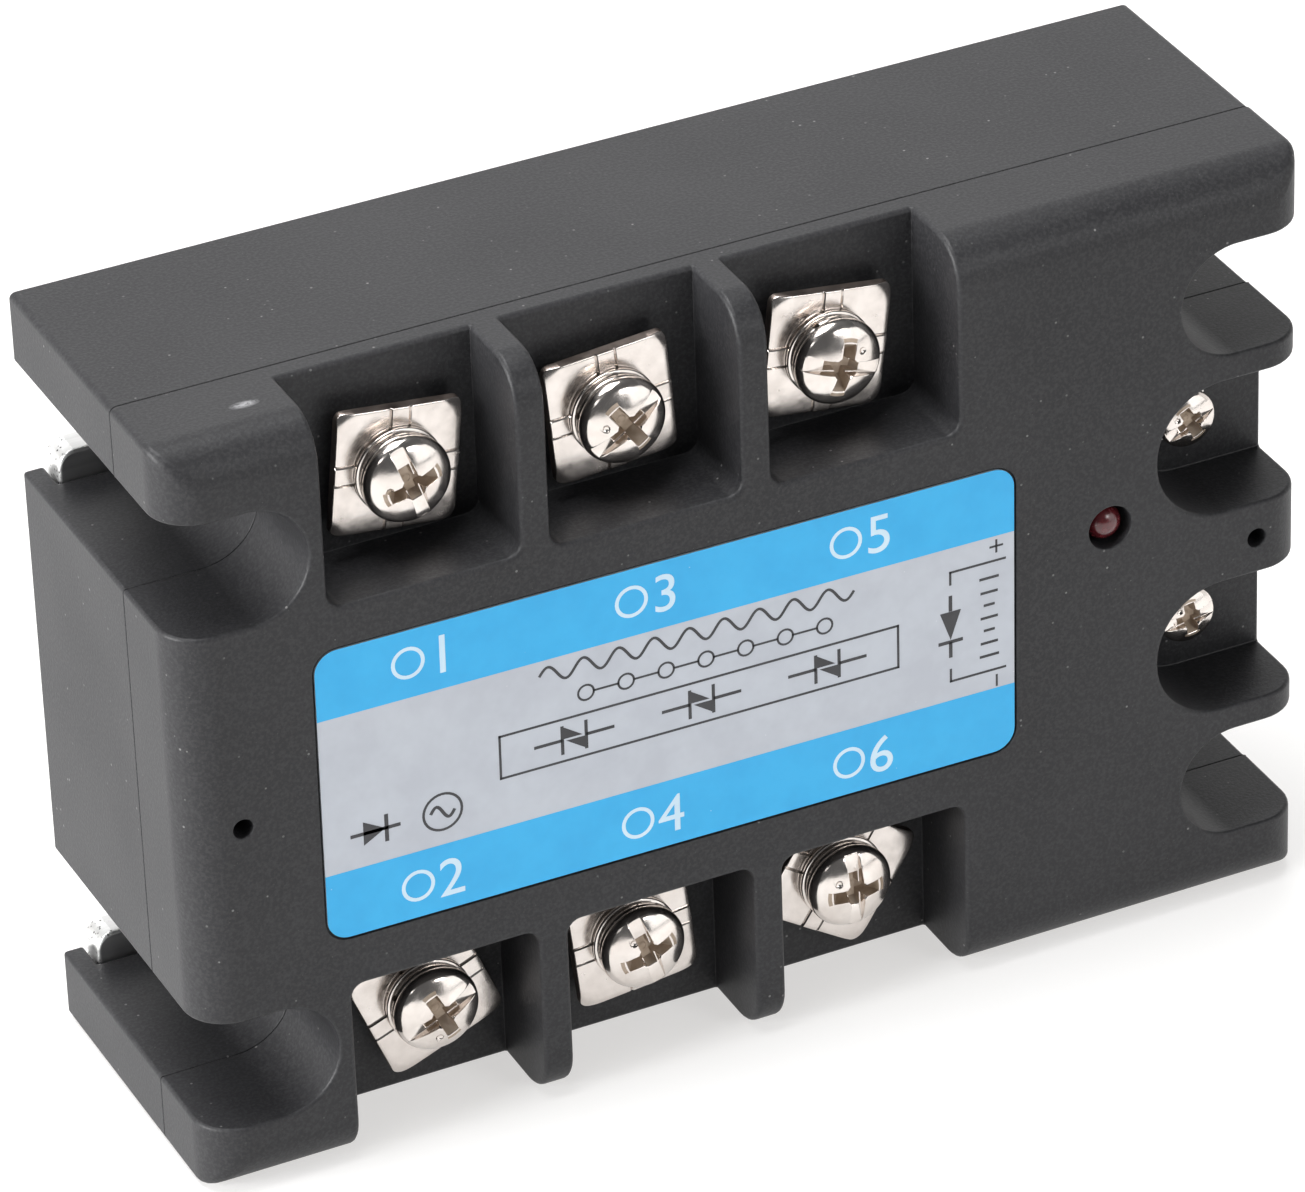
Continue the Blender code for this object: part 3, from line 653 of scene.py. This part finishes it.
def curved(points, width, closed=False):
    """One smooth ribbon along a line of many short stretches."""
    count = len(points)
    left, right_side = [], []
    for i, (u, v) in enumerate(points):
        before = points[i - 1] if i or closed else points[0]
        after = points[(i + 1) % count] if i < count - 1 or closed else points[-1]
        du, dv = after[0] - before[0], after[1] - before[1]
        size = math.hypot(du, dv)
        du, dv = du / size * width / 2, dv / size * width / 2
        left.append((u - dv, v + du))
        right_side.append((u + dv, v - du))
    strips = []
    for i in range(count if closed else count - 1):
        j = (i + 1) % count
        strips.append([left[i], right_side[i], right_side[j], left[j]])
    return strips


# each printed layer sits this deep, and reaches just into the one behind it
INK_Y, BAND_Y, FILM_Y, LAP = 0.030, 0.042, 0.055, 0.002
half_u, half_v = LABEL_HALF
film_outline = rounded_rectangle(-half_u, half_u, -half_v, half_v, LABEL_CORNER, 10)
film = flat_piece("label_film", [film_outline], FILM_Y, 0.25, FILM)
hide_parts("label")

BAND_IN = 7.55                     # from the label's middle to a band's inner edge
upper_band = [(-half_u, BAND_IN), (half_u, BAND_IN)]
upper_band += arc(half_u - LABEL_CORNER, half_v - LABEL_CORNER, LABEL_CORNER, 0, 90, 10)
upper_band += arc(LABEL_CORNER - half_u, half_v - LABEL_CORNER, LABEL_CORNER, 90, 180, 10)
lower_band = [(u, -v) for u, v in reversed(upper_band)]
flat_piece("label_band_upper", [upper_band], BAND_Y, FILM_Y + LAP, BAND)
flat_piece("label_band_lower", [lower_band], BAND_Y, FILM_Y + LAP, BAND)


def numeral(name, text, u, v, height, paint):
    """A numeral in the built-in face, scaled to a height in millimetres about a point."""
    data = bpy.data.curves.new(name, "FONT")
    data.body = text
    data.fill_mode = "BOTH"
    data.resolution_u = 6
    data.extrude = 0.05
    guide = bpy.data.objects.new(name, data)
    bpy.context.scene.collection.objects.link(guide)
    bpy.context.view_layer.update()
    mesh = bpy.data.meshes.new_from_object(guide.evaluated_get(bpy.context.evaluated_depsgraph_get()))
    bpy.data.objects.remove(guide)
    xs = [p.co.x for p in mesh.vertices]
    ys = [p.co.y for p in mesh.vertices]
    scale = height / (max(ys) - min(ys))
    mid = ((max(xs) + min(xs)) / 2, (max(ys) + min(ys)) / 2)
    for p in mesh.vertices:
        flat = on_label([(u + (p.co.x - mid[0]) * scale, v + (p.co.y - mid[1]) * scale)])[0]
        p.co = mm(flat[0], INK_Y if p.co.z > 0 else BAND_Y + LAP, flat[1])
    bm = bmesh.new()
    bm.from_mesh(mesh)
    bmesh.ops.remove_doubles(bm, verts=bm.verts, dist=1e-7)
    bpy.data.meshes.remove(mesh)
    made = piece(name, finish_mesh(bm, name), paint)
    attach(made, HOUSING)
    return made


def ring(u, v, radius, steps=28):
    """A full circle without a repeated last point."""
    return arc(u, v, radius, 0, 360 - 360 / steps, steps - 1)


BAND_TEXT = 10.9                   # from the label's middle to the numbers
for u, upper, lower in ((-22.4, "1", "2"), (-2.1, "3", "4"), (17.8, "5", "6")):
    for text, v in ((upper, BAND_TEXT), (lower, -BAND_TEXT)):
        numeral(f"label_number_{text}", text, u + 1.6, v, 3.6, WHITE_INK)
        mark = curved(ring(u - 1.5, v, 1.35), 0.34, closed=True)
        flat_piece(f"label_terminal_mark_{text}", mark, INK_Y, BAND_Y + LAP, WHITE_INK)


def dark_print(name, outlines):
    """A symbol in dark ink on the film."""
    return flat_piece(name, outlines, BAND_Y, FILM_Y + LAP, DARK_INK)


# a plain box round three switch symbols
box_corners = [(-16.0, 1.35), (21.1, 1.35), (21.1, -2.75), (-16.0, -2.75)]
dark_print("label_box", stroke(box_corners, 0.22, closed=True))


def switch_symbol(u, v):
    """Two back-to-back triangles between bars, with a lead each side."""
    tall, wide = 1.25, 0.95
    shapes = [
        [(u - wide, v + tall), (u - wide, v + 0.1), (u + wide - 0.2, v + 0.1)],
        [(u + wide, v - tall), (u + wide, v - 0.1), (u - wide + 0.2, v - 0.1)],
    ]
    shapes += stroke([(u - wide - 0.15, v - tall), (u - wide - 0.15, v + tall)], 0.3)
    shapes += stroke([(u + wide + 0.15, v - tall), (u + wide + 0.15, v + tall)], 0.3)
    shapes += stroke([(u - wide - 2.6, v), (u - wide - 0.3, v)], 0.3)
    shapes += stroke([(u + wide + 0.3, v), (u + wide + 2.6, v)], 0.3)
    return shapes


symbols = []
for u in (-9.2, 2.6, 14.4):
    symbols += switch_symbol(u, -0.7)
dark_print("label_switch_symbols", symbols)

wave = [(-12.2 + 29.2 * i / 180, 6.05 + 0.75 * math.sin(2 * math.pi * 9 * i / 180)) for i in range(181)]
dark_print("label_wave", curved(wave, 0.26))

chain = []
for i in range(7):
    chain += curved(ring(-8.0 + 3.7 * i, 3.35, 0.72, 20), 0.2, closed=True)
    if i < 6:
        chain += stroke([(-7.28 + 3.7 * i, 3.35), (-5.02 + 3.7 * i, 3.35)], 0.2)
dark_print("label_chain", chain)

# a diode and a source at the left, and brackets with plus and minus at the right end
diode = stroke([(-29.6, -4.35), (-25.4, -4.35)], 0.34)
diode += [[(-28.6, -3.2), (-28.6, -5.5), (-26.6, -4.35)]]
diode += stroke([(-26.5, -3.2), (-26.5, -5.5)], 0.36)
dark_print("label_diode", diode)
source = curved(ring(-21.4, -4.35, 1.75, 32), 0.24, closed=True)
sine = [(-22.5 + 2.2 * i / 16, -4.35 + 0.6 * math.sin(2 * math.pi * i / 16)) for i in range(17)]
dark_print("label_source_symbol", source + curved(sine, 0.3))

brackets = stroke([(26.1, 4.0), (26.1, 5.15), (31.3, 5.15)], 0.22)
brackets += stroke([(26.1, -4.5), (26.1, -5.65), (31.3, -5.65)], 0.22)
brackets += stroke([(30.5, 6.0), (30.5, 7.1)], 0.2) + stroke([(29.95, 6.55), (31.05, 6.55)], 0.2)
brackets += stroke([(30.5, -6.3), (30.5, -7.3)], 0.2)
brackets += stroke([(26.1, 2.7), (26.1, 1.5)], 0.34) + stroke([(26.1, -1.9), (26.1, -3.1)], 0.34)
brackets += stroke([(25.1, -1.7), (27.1, -1.7)], 0.34)
brackets += [[(25.1, 1.3), (27.1, 1.3), (26.1, -1.5)]]
brackets += stroke([(29.0, 3.6), (30.6, 3.6)], 0.26) + stroke([(29.0, -4.1), (30.6, -4.1)], 0.26)
for i in range(5):
    v = 2.2 - 1.25 * i
    brackets += stroke([(29.1, v), (30.5, v)] if i % 2 == 0 else [(29.4, v), (30.2, v)], 0.26)
dark_print("label_input_marks", brackets)


# ------------------------------------------------------------------ screws and washers
def spun(bm, radius, y, angle):
    """A vertex at a radius and depth in millimetres, turned about the Y axis."""
    return bm.verts.new(Vector((radius * math.cos(angle), y, radius * math.sin(angle))) * 0.001)


def lathe(bm, profile, sides):
    """Turns (radius, depth) in millimetres about the Y axis and closes both ends with a flat."""
    angles = [2 * math.pi * i / sides for i in range(sides)]
    skin(bm, [[spun(bm, radius, y, a) for a in angles] for radius, y in profile])
    return bm


def wedge(half_u, half_w, deep, half_u_low, half_w_low, above=1.0):
    """A tapering block about the Y axis, wide at the face and narrower at its bottom."""
    slope_u = (half_u - half_u_low) / deep
    slope_w = (half_w - half_w_low) / deep
    top_u, top_w = half_u + slope_u * above, half_w + slope_w * above
    bm = bmesh.new()
    corners = ((-1, -1), (1, -1), (1, 1), (-1, 1))
    top = [bm.verts.new(Vector((a * top_u, -above, b * top_w)) * 0.001) for a, b in corners]
    low = [bm.verts.new(Vector((a * half_u_low, deep, b * half_w_low)) * 0.001) for a, b in corners]
    bm.faces.new(top)
    bm.faces.new(list(reversed(low)))
    walls(bm, top, low)
    return bm


def head_profile():
    """A pan head as (radius, depth): a crown of one radius, then a bend down into the rim."""
    crown, crown_to, steps = 7.0, 3.3, 10
    tilt = math.asin(crown_to / crown)
    bend = (HEAD_R - crown_to) / (1 - math.sin(tilt))
    profile = []
    for i in range(1, steps + 1):
        a = tilt * i / steps
        profile.append((crown * math.sin(a), crown * (1 - math.cos(a))))
    shoulder = profile[-1][1]
    for i in range(1, steps + 1):
        a = tilt + (math.pi / 2 - tilt) * i / steps
        down = shoulder + bend * (math.cos(tilt) - math.cos(a))
        profile.append((HEAD_R - bend + bend * math.sin(a), down))
    return profile + [(HEAD_R, 1.92), (3.85, 2.03), (3.70, 2.10), (0.5, 2.10)]


def screw_head_mesh(name, size, dimple, broad):
    """A crowned pan head with a slot and a cross recess, its top at y = 0 and its axis along Y."""
    bm = bmesh.new()
    lathe(bm, [(r * size, y * size) for r, y in head_profile()], 72)
    head = piece(name, finish_mesh(bm, name), NICKEL, RECESS)
    cut(head, wedge(4.4 * size, 0.66 * size * broad, 1.02 * size, 4.3 * size, 0.62 * size * broad))
    cut(head, wedge(0.60 * size * broad, 2.45 * size, 1.85 * size, 0.45 * size * broad, 1.15 * size))
    cut(head, wedge(2.35 * size, 0.60 * size * broad, 1.85 * size, 1.15 * size, 0.45 * size * broad))
    cone = [(1.6 * size, -1.0), (1.12 * size * broad, 0.05 * size), (0.35 * size, 1.9 * size)]
    cut(head, lathe(bmesh.new(), cone, 24))
    bm = bmesh.new()
    a = math.radians(dimple)
    middle = Vector((2.15 * math.cos(a), 0.12, 2.15 * math.sin(a))) * size * 0.001
    bmesh.ops.create_uvsphere(
        bm, u_segments=20, v_segments=12, radius=0.40 * size * 0.001, matrix=Matrix.Translation(middle)
    )
    cut(head, bm)
    return head


def recess_faces(mesh, size, broad):
    """The cross recess and the middle of the slot carry brown stain."""
    for face in mesh.polygons:
        u, y, w = (c * 1000 / size for c in face.center)
        deep = 1.06 < y < 2.0 and math.hypot(u, w) < 2.5
        arms = 0.42 < y < 2.0 and abs(u) < 0.75 * broad and 0.70 * broad < abs(w) < 2.6
        face.material_index = 1 if deep or arms else 0


def thread_mesh(bm, size_radius, pitch, y_from, y_to, sides=28, per_turn=7):
    """A right-hand thread as one closed surface, tapering in at its far end."""
    root = size_radius - 0.54 * pitch
    taper = size_radius - root + 0.25
    rows = int((y_to - y_from) / pitch * per_turn)
    rings = []
    for k in range(rows + 1):
        y = y_from + (y_to - y_from) * k / rows
        left = (y_to - y) / (1.1 * pitch)
        points = []
        for i in range(sides):
            a = 2 * math.pi * i / sides
            phase = (y / pitch + a / (2 * math.pi)) % 1.0
            crest = 1.0 - abs(2 * phase - 1.0)
            crest = min(1.0, max(0.0, (crest - 0.08) / 0.78))
            r = root + (size_radius - root) * crest
            r = min(r, root - 0.25 + taper * min(1.0, left + 0.05))
            points.append(spun(bm, r, y, a))
        rings.append(points)
    skin(bm, rings)


def build_screw(name, size, dimple, shank_radius, pitch, shank_to, broad=1.0):
    """A head and its threaded shank as one piece at the origin; broad widens the recess."""
    head = screw_head_mesh(name, size, dimple, broad)

    def edge_width(middle, along, convex):
        return 0.05 if convex else 0.03

    soften(head, edge_width, angle=36.0, segments=2, weld=0.004, flats=False)
    recess_faces(head.data, size, broad)
    bm = bmesh.new()
    thread_mesh(bm, shank_radius, pitch, 2.02 * size, shank_to)
    shank = piece(name + "_shank", finish_mesh(bm, name + "_shank"), NICKEL)
    shade(shank.data, 60)
    bm = bmesh.new()
    bm.from_mesh(head.data)
    bm.from_mesh(shank.data)
    bm.to_mesh(head.data)
    bm.free()
    bpy.data.objects.remove(shank)
    return head


def put(obj, x, y, z, turn):
    """Moves a piece built at the origin to its place, turned as seen from the front."""
    spin = Matrix.Rotation(-math.radians(turn), 4, "Y")
    obj.data.transform(Matrix.Translation(mm(x, y, z)) @ spin)


def split_ring(name, inner, outer, thick, rise, gap_deg=9.0):
    """A spring washer: rectangular wire with eased corners, cut through and slightly sprung."""
    e = 0.10
    section = [
        (inner + e, 0.0), (outer - e, 0.0), (outer, e), (outer, thick - e),
        (outer - e, thick), (inner + e, thick), (inner, thick - e), (inner, e),
    ]
    steps = 64
    bm = bmesh.new()
    rings = []
    for i in range(steps + 1):
        part = i / steps
        a = math.radians(gap_deg / 2 + (360 - gap_deg) * part)
        lift = rise * (part - 0.5)
        rings.append([spun(bm, r, y + lift, a) for r, y in section])
    skin(bm, rings)
    made = piece(name, finish_mesh(bm, name), SPRING)
    shade(made.data, 50)
    return made


def clamp_plate(name, half, corner, thick, rib, bore):
    """A stamped square clamp: rolled corners, and a raised rib between two grooves to each side."""
    edge = rib / 2 / half
    groove = 0.30 / half
    near = [0.0, 0.5 * edge, 0.92 * edge, edge, edge + 0.5 * groove, edge + groove, edge + 1.5 * groove]
    far = [edge + 0.04 * i + 0.05 for i in range(1, 60) if edge + 0.04 * i + 0.05 < 0.955]
    half_lines = near + far + [0.972, 0.985, 0.994, 1.0]
    grid = [-v for v in reversed(half_lines[1:])] + half_lines
    inner = 1 - corner / half
    roll = 0.36 * half

    def place_on(s, t):
        """Where a grid point from -1 to 1 lies on the square, its corners drawn round."""
        a, b = abs(s), abs(t)
        if a > inner and b > inner:
            p, q = (a - inner) / (1 - inner), (b - inner) / (1 - inner)
            reach = max(p, q)
            angle = math.pi / 4 * (q / p) if p >= q else math.pi / 2 - math.pi / 4 * (p / q)
            a = inner + (1 - inner) * reach * math.cos(angle)
            b = inner + (1 - inner) * reach * math.sin(angle)
        return math.copysign(a, s) * half, math.copysign(b, t) * half

    def lift(s, t):
        """How far the front face stands out at a grid point."""
        u, w = place_on(s, t)
        rim = 1 - max(abs(s), abs(t))
        high = -0.10 * ((u * u + w * w) / (2 * half * half))
        cross = min(abs(s), abs(t))
        if cross <= edge * 1.001:
            high += 0.07
        elif cross <= edge + 0.75 * groove:
            high -= 0.14
        past = math.hypot(max(0.0, abs(u) - half + roll), max(0.0, abs(w) - half + roll)) / roll
        high -= 0.34 * max(0.0, (past - 0.80) / 0.45) ** 2
        if rim < 0.012:
            high -= 0.04 * (1 - rim / 0.012) ** 2
        return high

    bm = bmesh.new()
    front, back = {}, {}
    last = len(grid) - 1
    for i, s in enumerate(grid):
        for j, t in enumerate(grid):
            u, w = place_on(s, t)
            front[i, j] = bm.verts.new(Vector((u, -lift(s, t), w)) * 0.001)
            back[i, j] = bm.verts.new(Vector((u, thick, w)) * 0.001)
    for i in range(last):
        for j in range(last):
            bm.faces.new((front[i, j], front[i + 1, j], front[i + 1, j + 1], front[i, j + 1]))
            bm.faces.new((back[i, j], back[i, j + 1], back[i + 1, j + 1], back[i + 1, j]))
    rim = [(i, 0) for i in range(last)] + [(last, j) for j in range(last)]
    rim += [(i, last) for i in range(last, 0, -1)] + [(0, j) for j in range(last, 0, -1)]
    for a, b in zip(rim, rim[1:] + rim[:1]):
        side = bm.faces.new((front[a], front[b], back[b], back[a]))
        side.material_index = 1
    made = piece(name, finish_mesh(bm, name), CLAMP_NICKEL, SHEARED)
    cut(made, lathe(bmesh.new(), [(bore, -2.0), (bore, thick + 2.0)], 40))
    shade(made.data, 38)
    return made


def collar(name, inner, outer, y_from, y_to):
    """The thin round washer between a spring washer and its clamp."""
    e = 0.08
    section = [
        (inner, y_from + e), (inner + e, y_from), (outer - e, y_from), (outer, y_from + e),
        (outer, y_to - e), (outer - e, y_to), (inner + e, y_to), (inner, y_to - e),
    ]
    sides = 64
    bm = bmesh.new()
    rings = []
    for i in range(sides):
        rings.append([spun(bm, r, y, 2 * math.pi * i / sides) for r, y in section])
    for k in range(sides):
        walls(bm, rings[k - 1], rings[k])
    made = piece(name, finish_mesh(bm, name), NICKEL)
    shade(made.data, 50)
    return made


for tag, x, z, washer_turn, screw_turn, dimple in POWER:
    screw = build_screw(f"terminal_screw_{tag}_steel", 1.0, dimple, 1.95, 0.7, 10.6)
    put(screw, x, SCREW_Y, z, screw_turn)
    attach(screw, f"screw_{tag}")
    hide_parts(f"terminal_screw_{tag}")
    ring_washer = split_ring(f"spring_washer_{tag}_steel", 2.2, 3.74, 0.78, 0.10)
    put(ring_washer, x, SPRING_Y, z, screw_turn + 130)
    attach(ring_washer, f"clamp_{tag}")
    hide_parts(f"spring_washer_{tag}")
    flat = collar(f"clamp_collar_{tag}_steel", 2.2, 3.92, 0.0, 0.42)
    put(flat, x, COLLAR_Y, z, 0.0)
    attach(flat, f"clamp_{tag}")
    clamp = clamp_plate(f"clamp_washer_{tag}_steel", 5.6, 0.7, 1.05, 1.42, 2.3)
    put(clamp, x, CLAMP_Y, z, washer_turn)
    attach(clamp, f"clamp_{tag}")
    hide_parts(f"clamp_washer_{tag}")

for tag, x, z, washer_turn, screw_turn in INPUTS:
    screw = build_screw(f"input_screw_{tag}_steel", INPUT_SIZE, 130.0, 1.45, 0.5, 7.4, 1.3)
    put(screw, x, INPUT_SCREW_Y, z, screw_turn)
    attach(screw, f"screw_{tag}")
    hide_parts(f"input_screw_{tag}")
    clamp = clamp_plate(f"input_clamp_{tag}_steel", 2.35, 0.5, 0.65, 0.8, 1.65)
    put(clamp, x, INPUT_CLAMP_Y, z, washer_turn)
    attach(clamp, f"clamp_{tag}")
    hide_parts(f"input_clamp_washer_{tag}")
    ring_washer = split_ring(f"input_spring_washer_{tag}_steel", 1.62, 2.62, 0.20, 0.04)
    put(ring_washer, x, INPUT_SPRING_Y, z, screw_turn + 70)
    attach(ring_washer, f"clamp_{tag}")

# ------------------------------------------------------------------ indicator
lens = []
for i in range(1, 13):
    a = math.pi / 2 * i / 12
    lens.append((LENS_R * math.sin(a), 0.15 + 1.6 * (1 - math.cos(a))))
bm = bmesh.new()
lathe(bm, lens + [(LENS_R, 6.35), (1.92, 6.4), (1.95, 6.5), (1.95, 7.2), (1.88, 7.28)], 56)
LEAD_R, LEAD_LONG, LEAD_FROM = 0.00025, 0.0034, 0.00735
for offset in (-1.27, 1.27):
    where = Matrix.Translation(Vector((0, 8.9, offset)) * 0.001) @ Matrix.Rotation(math.pi / 2, 4, "X")
    bmesh.ops.create_cone(
        bm, cap_ends=True, segments=12, radius1=LEAD_R, radius2=LEAD_R, depth=LEAD_LONG, matrix=where
    )
led = piece("indicator_led_resin", finish_mesh(bm, "indicator_led_resin"), RED, TIN)
for face in led.data.polygons:
    face.material_index = 1 if face.center.y > LEAD_FROM else 0
shade(led.data, 40)
led.data.transform(Matrix.Translation(mm(LED_X, 0.0, LED_Z)))
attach(led, HOUSING)
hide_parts("indicator_led")

# ------------------------------------------------------------------ pieces kept from the frame
FINISHES = (
    ("terminal_nut", BRASS),
    ("input_nut", BRASS),
    ("busbar", TIN),
    ("input_terminal", TIN),
    ("control_board", BOARD),
    ("ceramic_tile", CERAMIC),
    ("thyristor_pair", CHIP),
    ("optocoupler", CHIP),
    ("snubber_capacitor", CAPACITOR),
    ("snubber_resistor", RESISTOR),
)
for name, node in NODES.items():
    for start, paint in FINISHES:
        if name.startswith(start):
            for slot in node.material_slots:
                slot.material = paint
            ease = node.modifiers.new("eased_edges", "BEVEL")
            ease.width = 0.0001
            ease.segments = 2
            ease.limit_method = "ANGLE"
            ease.angle_limit = math.radians(50)

# ------------------------------------------------------------------ floor, light and camera
SIDE, NEAR, FAR, TALL = 2.6, -1.1, 2.4, 1.6
SHEET_DROP = -0.0002               # keeps the floor clear of the relay's underside


def pale_paint(name, grey, glow):
    """A plain pale surface that also gives a little light of its own."""
    s = Shader(name).set(Roughness=0.6)
    s.colour(s.mix(s.ramp(s.noise(60.0, 2.0), 0.3, 0.7), (grey,) * 3, (grey * 0.95,) * 3))
    s.out.inputs["Emission Color"].default_value = (1.0, 0.985, 0.97, 1.0)
    s.out.inputs["Emission Strength"].default_value = glow
    return s.material


def stage_sheet(name, corners, paint):
    """A flat rectangle of the studio, its corners in metres."""
    bm = bmesh.new()
    bm.faces.new([bm.verts.new(c) for c in corners])
    sheet = piece(name, finish_mesh(bm, name), paint)
    sheet.location.z = SHEET_DROP


FLOOR = pale_paint("pale_floor", 0.40, 0.60)
WALL = pale_paint("pale_wall", 0.40, 0.62)
stage_sheet("floor", ((-SIDE, NEAR, 0), (SIDE, NEAR, 0), (SIDE, FAR, 0), (-SIDE, FAR, 0)), FLOOR)
stage_sheet("back_wall", ((-SIDE, FAR, 0), (SIDE, FAR, 0), (SIDE, FAR, TALL), (-SIDE, FAR, TALL)), WALL)
for name, x in (("left_wall", -SIDE), ("right_wall", SIDE)):
    stage_sheet(name, ((x, NEAR, 0), (x, FAR, 0), (x, FAR, TALL), (x, NEAR, TALL)), WALL)

SOFTBOXES = (
    # name, place, height it is aimed at, width and height, watts
    ("left_softbox", (-1.3, -0.04, 0.42), 0.04, (0.6, 0.6), 28.5),
    ("top_softbox", (-0.2, 0.15, 1.3), 0.0, (0.9, 0.7), 21.5),
    ("back_softbox", (0.35, 1.3, 0.75), 0.05, (2.2, 1.0), 6.0),
    ("right_softbox", (0.98, -1.00, 0.42), 0.04, (1.1, 0.75), 3.4),
    ("front_softbox", (0.50, -1.15, 0.70), 0.04, (0.4, 0.3), 3.2),
    ("small_softbox", (-0.81, -0.50, 0.75), 0.04, (0.26, 0.20), 0.6),
)
for name, place, aim, (wide, high), watts in SOFTBOXES:
    light = bpy.data.lights.new(name, "AREA")
    light.shape = "RECTANGLE"
    light.size, light.size_y = wide, high
    light.energy = watts
    lamp = bpy.data.objects.new(name, light)
    bpy.context.scene.collection.objects.link(lamp)
    lamp.location = place
    lamp.visible_camera = False
    lamp.rotation_euler = (Vector((0, 0, aim)) - Vector(place)).to_track_quat("-Z", "Y").to_euler()

world = bpy.data.worlds.new("studio")
world.use_nodes = True
world.node_tree.nodes["Background"].inputs["Color"].default_value = (0.95, 0.97, 1.0, 1.0)
world.node_tree.nodes["Background"].inputs["Strength"].default_value = 0.12
bpy.context.scene.world = world
bpy.context.scene.view_settings.view_transform = "Standard"

camera_data = bpy.data.cameras.new("camera")
camera_data.sensor_width = 36.0
camera_data.sensor_fit = "HORIZONTAL"
camera_data.lens = 226.3
camera_data.clip_start = 0.01
camera = bpy.data.objects.new("camera", camera_data)
bpy.context.scene.collection.objects.link(camera)
right = Vector((0.899083, -0.436616, -0.031892))
up = Vector((0.253424, 0.45968, 0.851158))
forward = Vector((0.356969, 0.773344, -0.523939))
turn = Matrix((right, up, -forward)).transposed().to_4x4()
camera.matrix_world = Matrix.Translation((-0.252158, -0.540845, 0.402817)) @ turn
bpy.context.scene.camera = camera
